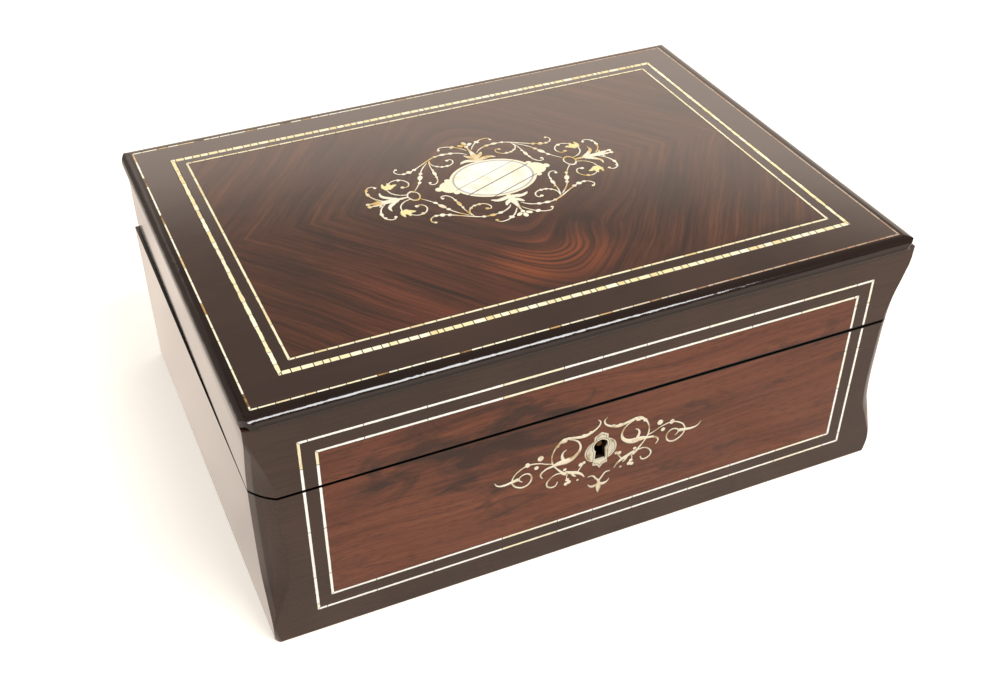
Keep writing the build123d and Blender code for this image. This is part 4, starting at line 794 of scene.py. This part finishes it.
# engraving on the keyhole plate, right half, in mm from the plate's middle: a border inside the
# outline, one round the keyhole, and hatching between them
plate = {
    "middle": 54.5, "rise": 0.012,
    "arcs": (  # centre, radius, degrees, half width
        ((1.7, 0.0), 5.1, range(-60, 61, 15), 0.13), ((0.0, 2.4), 4.2, range(-40, 91, 13), 0.12),
    ),
    "lines": (
        ((2.5, 5.6, 0.13), (2.45, 7.4, 0.13)), ((2.45, 7.4, 0.13), (0.0, 8.9, 0.13)),
        ((2.7, -6.2, 0.13), (2.7, -7.2, 0.13)), ((2.7, -7.2, 0.13), (0.9, -7.6, 0.13), (0.0, -9.0, 0.13)),
        ((3.25, -0.3, 0.12), (3.5, -6.1, 0.12)),
    ),
    "hatches": 7, "hatchStep": 1.2, "hatch": ((4.6, -4.1, 0.06), (6.1, -2.9, 0.06)),
}
engraving = [[
    (x + radius * math.cos(math.radians(a)), plate["middle"] + y + radius * math.sin(math.radians(a)), half)
    for a in degrees
] for (x, y), radius, degrees, half in plate["arcs"]]
engraving += [[(x, plate["middle"] + y, half) for x, y, half in line] for line in plate["lines"]]
engraving += [[
    (x, plate["middle"] + y + step * plate["hatchStep"], half) for x, y, half in plate["hatch"]
] for step in range(plate["hatches"])]
inlay("plateEngraving", {"strokes": engraving, "beads": []}, fourWays[:2], frontPlace, "case", inlayMastic,
      plate["rise"])
print("marquetry laid")

# pins of the cylinder: one track for each comb tooth, set out like a tune with rests between notes
pinWork = {
    "seed": 11, "tracks": 56, "pitch": 2.0, "firstX": -45.0, "notes": 15, "radius": 21.0,
    "centre": (22.0, 47.0), "tall": 0.9, "sunk": 0.1, "half": 0.22, "taper": 0.7,
    "share": 0.8, "stray": 0.7,
}
dice = random.Random(pinWork["seed"])
work = bmesh.new()
axle = Matrix.Translation((0, mm(pinWork["centre"][0]), mm(pinWork["centre"][1])))
for track in range(pinWork["tracks"]):
    alongX = pinWork["firstX"] + track * pinWork["pitch"]
    for note in range(pinWork["notes"]):
        drawn = dice.random()
        turn = (note + dice.random() * pinWork["stray"]) * math.tau / pinWork["notes"]
        if drawn > pinWork["share"]:
            continue
        middle = pinWork["radius"] + pinWork["tall"] / 2 - pinWork["sunk"]
        stand = Matrix.Rotation(turn, 4, "X") @ Matrix.Translation((mm(alongX), 0, mm(middle)))
        bmesh.ops.create_cone(
            work, cap_ends=True, segments=5, radius1=mm(pinWork["half"]),
            radius2=mm(pinWork["half"]) * pinWork["taper"], depth=mm(pinWork["tall"]), matrix=axle @ stand,
        )
pins = addPiece("cylinderPins", work, steel)
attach(pins, "cylinder")

# tune card pinned inside the lid: aged paper with a ruled border and blank ruled lines
card = {
    "size": (150.0, 96.0), "faceZ": 111.98, "thick": 0.25, "ink": "#4A2F22", "inkShare": 0.7,
    "paper": [(0.3, "#D9C8A0"), (0.6, "#E6DABB"), (0.75, "#C9B080")],
    "borders": ((5.0, 0.5), (6.6, 0.15)),       # inset and half width, mm
    "rule": (10.0, 0.15), "margin": 12.0,       # half the step between ruled lines, half width
}
material, tree, shader, position = startMaterial("agedPaperCard", **{"Roughness": 0.8})
axes = addNode(tree, "SeparateXYZ", [position], out=None)
foxing = addNode(tree, "TexNoise", {"Vector": position, "Scale": 45.0, "Detail": 5.0})
paper = addNode(tree, "ValToRGB", [foxing], stops=card["paper"])
insets = []
for axis, size in enumerate(card["size"]):
    reach = addNode(tree, "Math.ABSOLUTE", [axes.outputs[axis]])
    insets.append(addNode(tree, "Math.SUBTRACT", [mm(size / 2), reach]))
inset = addNode(tree, "Math.MINIMUM", [insets[0], insets[1]])
border, hairline = (
    addNode(tree, "Math.COMPARE", [inset, mm(place), mm(half)]) for place, half in card["borders"]
)
ink = addNode(tree, "Math.MAXIMUM", [border, hairline])
rule = addNode(tree, "Math.PINGPONG", [axes.outputs[1], mm(card["rule"][0])])
rule = addNode(tree, "Math.LESS_THAN", [rule, mm(card["rule"][1])])
field = addNode(tree, "Math.GREATER_THAN", [inset, mm(card["margin"])])
rule = addNode(tree, "Math.MULTIPLY", [rule, field])
ink = addNode(tree, "Math.MAXIMUM", [ink, rule])
ink = addNode(tree, "Math.MULTIPLY", [ink, card["inkShare"]])
printed = addNode(tree, "Mix.RGBA", {0: ink, 6: paper, 7: linear(card["ink"])}, out=2)
tree.links.new(printed, shader.inputs["Base Color"])
work = bmesh.new()
bmesh.ops.create_cube(work, size=1.0, matrix=Matrix.Translation((0, 0, mm(card["faceZ"] - card["thick"] / 2)))
                      @ Matrix.Diagonal((*(mm(v) for v in card["size"]), mm(card["thick"]), 1)))
tuneCard = addPiece("tuneCard", work, material)
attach(tuneCard, "lid")
print("pins and tune card placed")

studio = {
    "floorColour": "#F3E8DC",
    "floorGlow": "#FFFAF0",
    "floorLift": 0.44,        # brings the lit floor up to white for the eye and for reflections
    "mirroredWhite": "#FFEEDF",  # white walls and floor as the polish shows them, through its amber
    "mirroredFloor": (0.86, 1.14),  # beside the front of the box, and beyond its back
    "mirroredReach": (-0.04, 0.16),
    "floorFade": (-0.3, -1.1),  # the floor reflects darker from here to here on the left, metres
    "foldShade": 0.16,        # soft folds of the cloth as they show in the polish
    "foldScale": (30.0, 9.0, 1.0),
    "foldRange": (0.35, 0.6),
    "darkSide": (-0.2, -0.42, 0.3),  # reflections of the room's left side: from, to, share left
    "skyDiffuse": 0.52,
    "mirroredWalls": 1.16,
    "skyDim": 0.25,           # what the polish sees overhead
    "whiteBelow": 27.7,       # degrees above the horizon up to which reflections see the white walls
    "dimAbove": 32.3,
    "lamps": (                # name, shape, size, place, aimed at, watts, seen in the polish
        ("overheadPanel", "SQUARE", (1.6, 1.6), (0.0, -0.1, 1.9), (0.0, -0.1, 0.0), 15.0, False),
        ("softWindow", "ELLIPSE", (1.3, 0.62), (0.55, -1.1, 1.9), (0.0, -0.05, 0.08), 32.0, True),
    ),
}


def mirroredRays(tree):
    # 1 for rays that come by way of a polished or clear surface; also gives the light path node
    path = addNode(tree, "LightPath", out=None)
    return addNode(tree, "Math.ADD", [
        path.outputs["Is Glossy Ray"], path.outputs["Is Transmission Ray"],
    ], use_clamp=True), path


# the floor is lit cloth, lifted to white, to the eye; to the polish it is an even amber-white
floorMaterial = bpy.data.materials.new("whiteStudioFloor")
tree = emptyTree(floorMaterial)
mirrored, path = mirroredRays(tree)
seen = addNode(tree, "Math.ADD", [path.outputs["Is Camera Ray"], mirrored], use_clamp=True)
lift = addNode(tree, "Math.MULTIPLY", [seen, studio["floorLift"]])
cloth = addNode(tree, "BsdfDiffuse", {"Color": linear(studio["floorColour"])})
glow = addNode(tree, "Emission", {"Color": linear(studio["floorGlow"]), "Strength": lift})
cloth = addNode(tree, "AddShader", [cloth, glow])
position = addNode(tree, "TexCoord", out="Object")
spot = addNode(tree, "SeparateXYZ", [position], out=None)
strength = addNode(tree, "MapRange", [
    spot.outputs[1], studio["mirroredReach"][0], studio["mirroredReach"][1],
    studio["mirroredFloor"][0], studio["mirroredFloor"][1],
])
aside = addNode(tree, "MapRange", [
    spot.outputs[0], studio["floorFade"][1], studio["floorFade"][0], studio["darkSide"][2], 1.0,
], interpolation_type="SMOOTHSTEP")
folds = addNode(tree, "Mapping", {"Vector": position, "Scale": studio["foldScale"]})
folds = addNode(tree, "TexNoise", {"Vector": folds, "Scale": 1.0, "Detail": 2.0})
folds = addNode(tree, "MapRange", [
    folds, studio["foldRange"][0], studio["foldRange"][1], 1 - studio["foldShade"], 1.0,
])
for shade in (aside, folds):
    strength = addNode(tree, "Math.MULTIPLY", [strength, shade])
amber = addNode(tree, "Emission", {"Color": linear(studio["mirroredWhite"]), "Strength": strength})
final = addNode(tree, "MixShader", [mirrored, cloth, amber])
addNode(tree, "OutputMaterial", {"Surface": final}, out=None)
work = bmesh.new()
bmesh.ops.create_grid(work, x_segments=1, y_segments=1, size=3.0)
floor = addPiece("floor", work, floorMaterial)

# the room is plain white to the eye; the polish sees white walls below a dim ceiling
world = bpy.data.worlds.new("studioWalls")
bpy.context.scene.world = world
tree = emptyTree(world)
direction = addNode(tree, "TexCoord", out="Generated")
heading = addNode(tree, "SeparateXYZ", [direction], out=None)
dimming = addNode(tree, "MapRange", [
    heading.outputs[2], math.sin(math.radians(studio["whiteBelow"])),
    math.sin(math.radians(studio["dimAbove"])), studio["mirroredWalls"], studio["skyDim"],
], interpolation_type="SMOOTHSTEP")
darkSide = addNode(tree, "MapRange", [
    heading.outputs[0], studio["darkSide"][1], studio["darkSide"][0], studio["darkSide"][2], 1.0,
], interpolation_type="SMOOTHSTEP")
dimming = addNode(tree, "Math.MULTIPLY", [dimming, darkSide])
mirrored, path = mirroredRays(tree)
level = addNode(tree, "Mix", {0: mirrored, 2: studio["skyDiffuse"], 3: dimming})
level = addNode(tree, "Mix", {0: path.outputs["Is Camera Ray"], 2: level, 3: 1.0})
tint = addNode(tree, "Mix.RGBA", {0: mirrored, 6: (1, 1, 1, 1), 7: linear(studio["mirroredWhite"])}, out=2)
background = addNode(tree, "Background", {"Color": tint, "Strength": level})
addNode(tree, "OutputWorld", {"Surface": background}, out=None)

for name, shape, size, place, aim, watts, mirroredLamp in studio["lamps"]:
    lampData = bpy.data.lights.new(name, "AREA")
    lampData.shape = shape
    lampData.size, lampData.size_y = size
    lampData.energy = watts
    lamp = bpy.data.objects.new(name, lampData)
    lamp.location = place
    lamp.rotation_mode = "QUATERNION"
    lamp.rotation_quaternion = (Vector(aim) - Vector(place)).to_track_quat("-Z", "Y")
    lamp.visible_glossy = mirroredLamp
    addToScene(lamp)
print("studio ready")
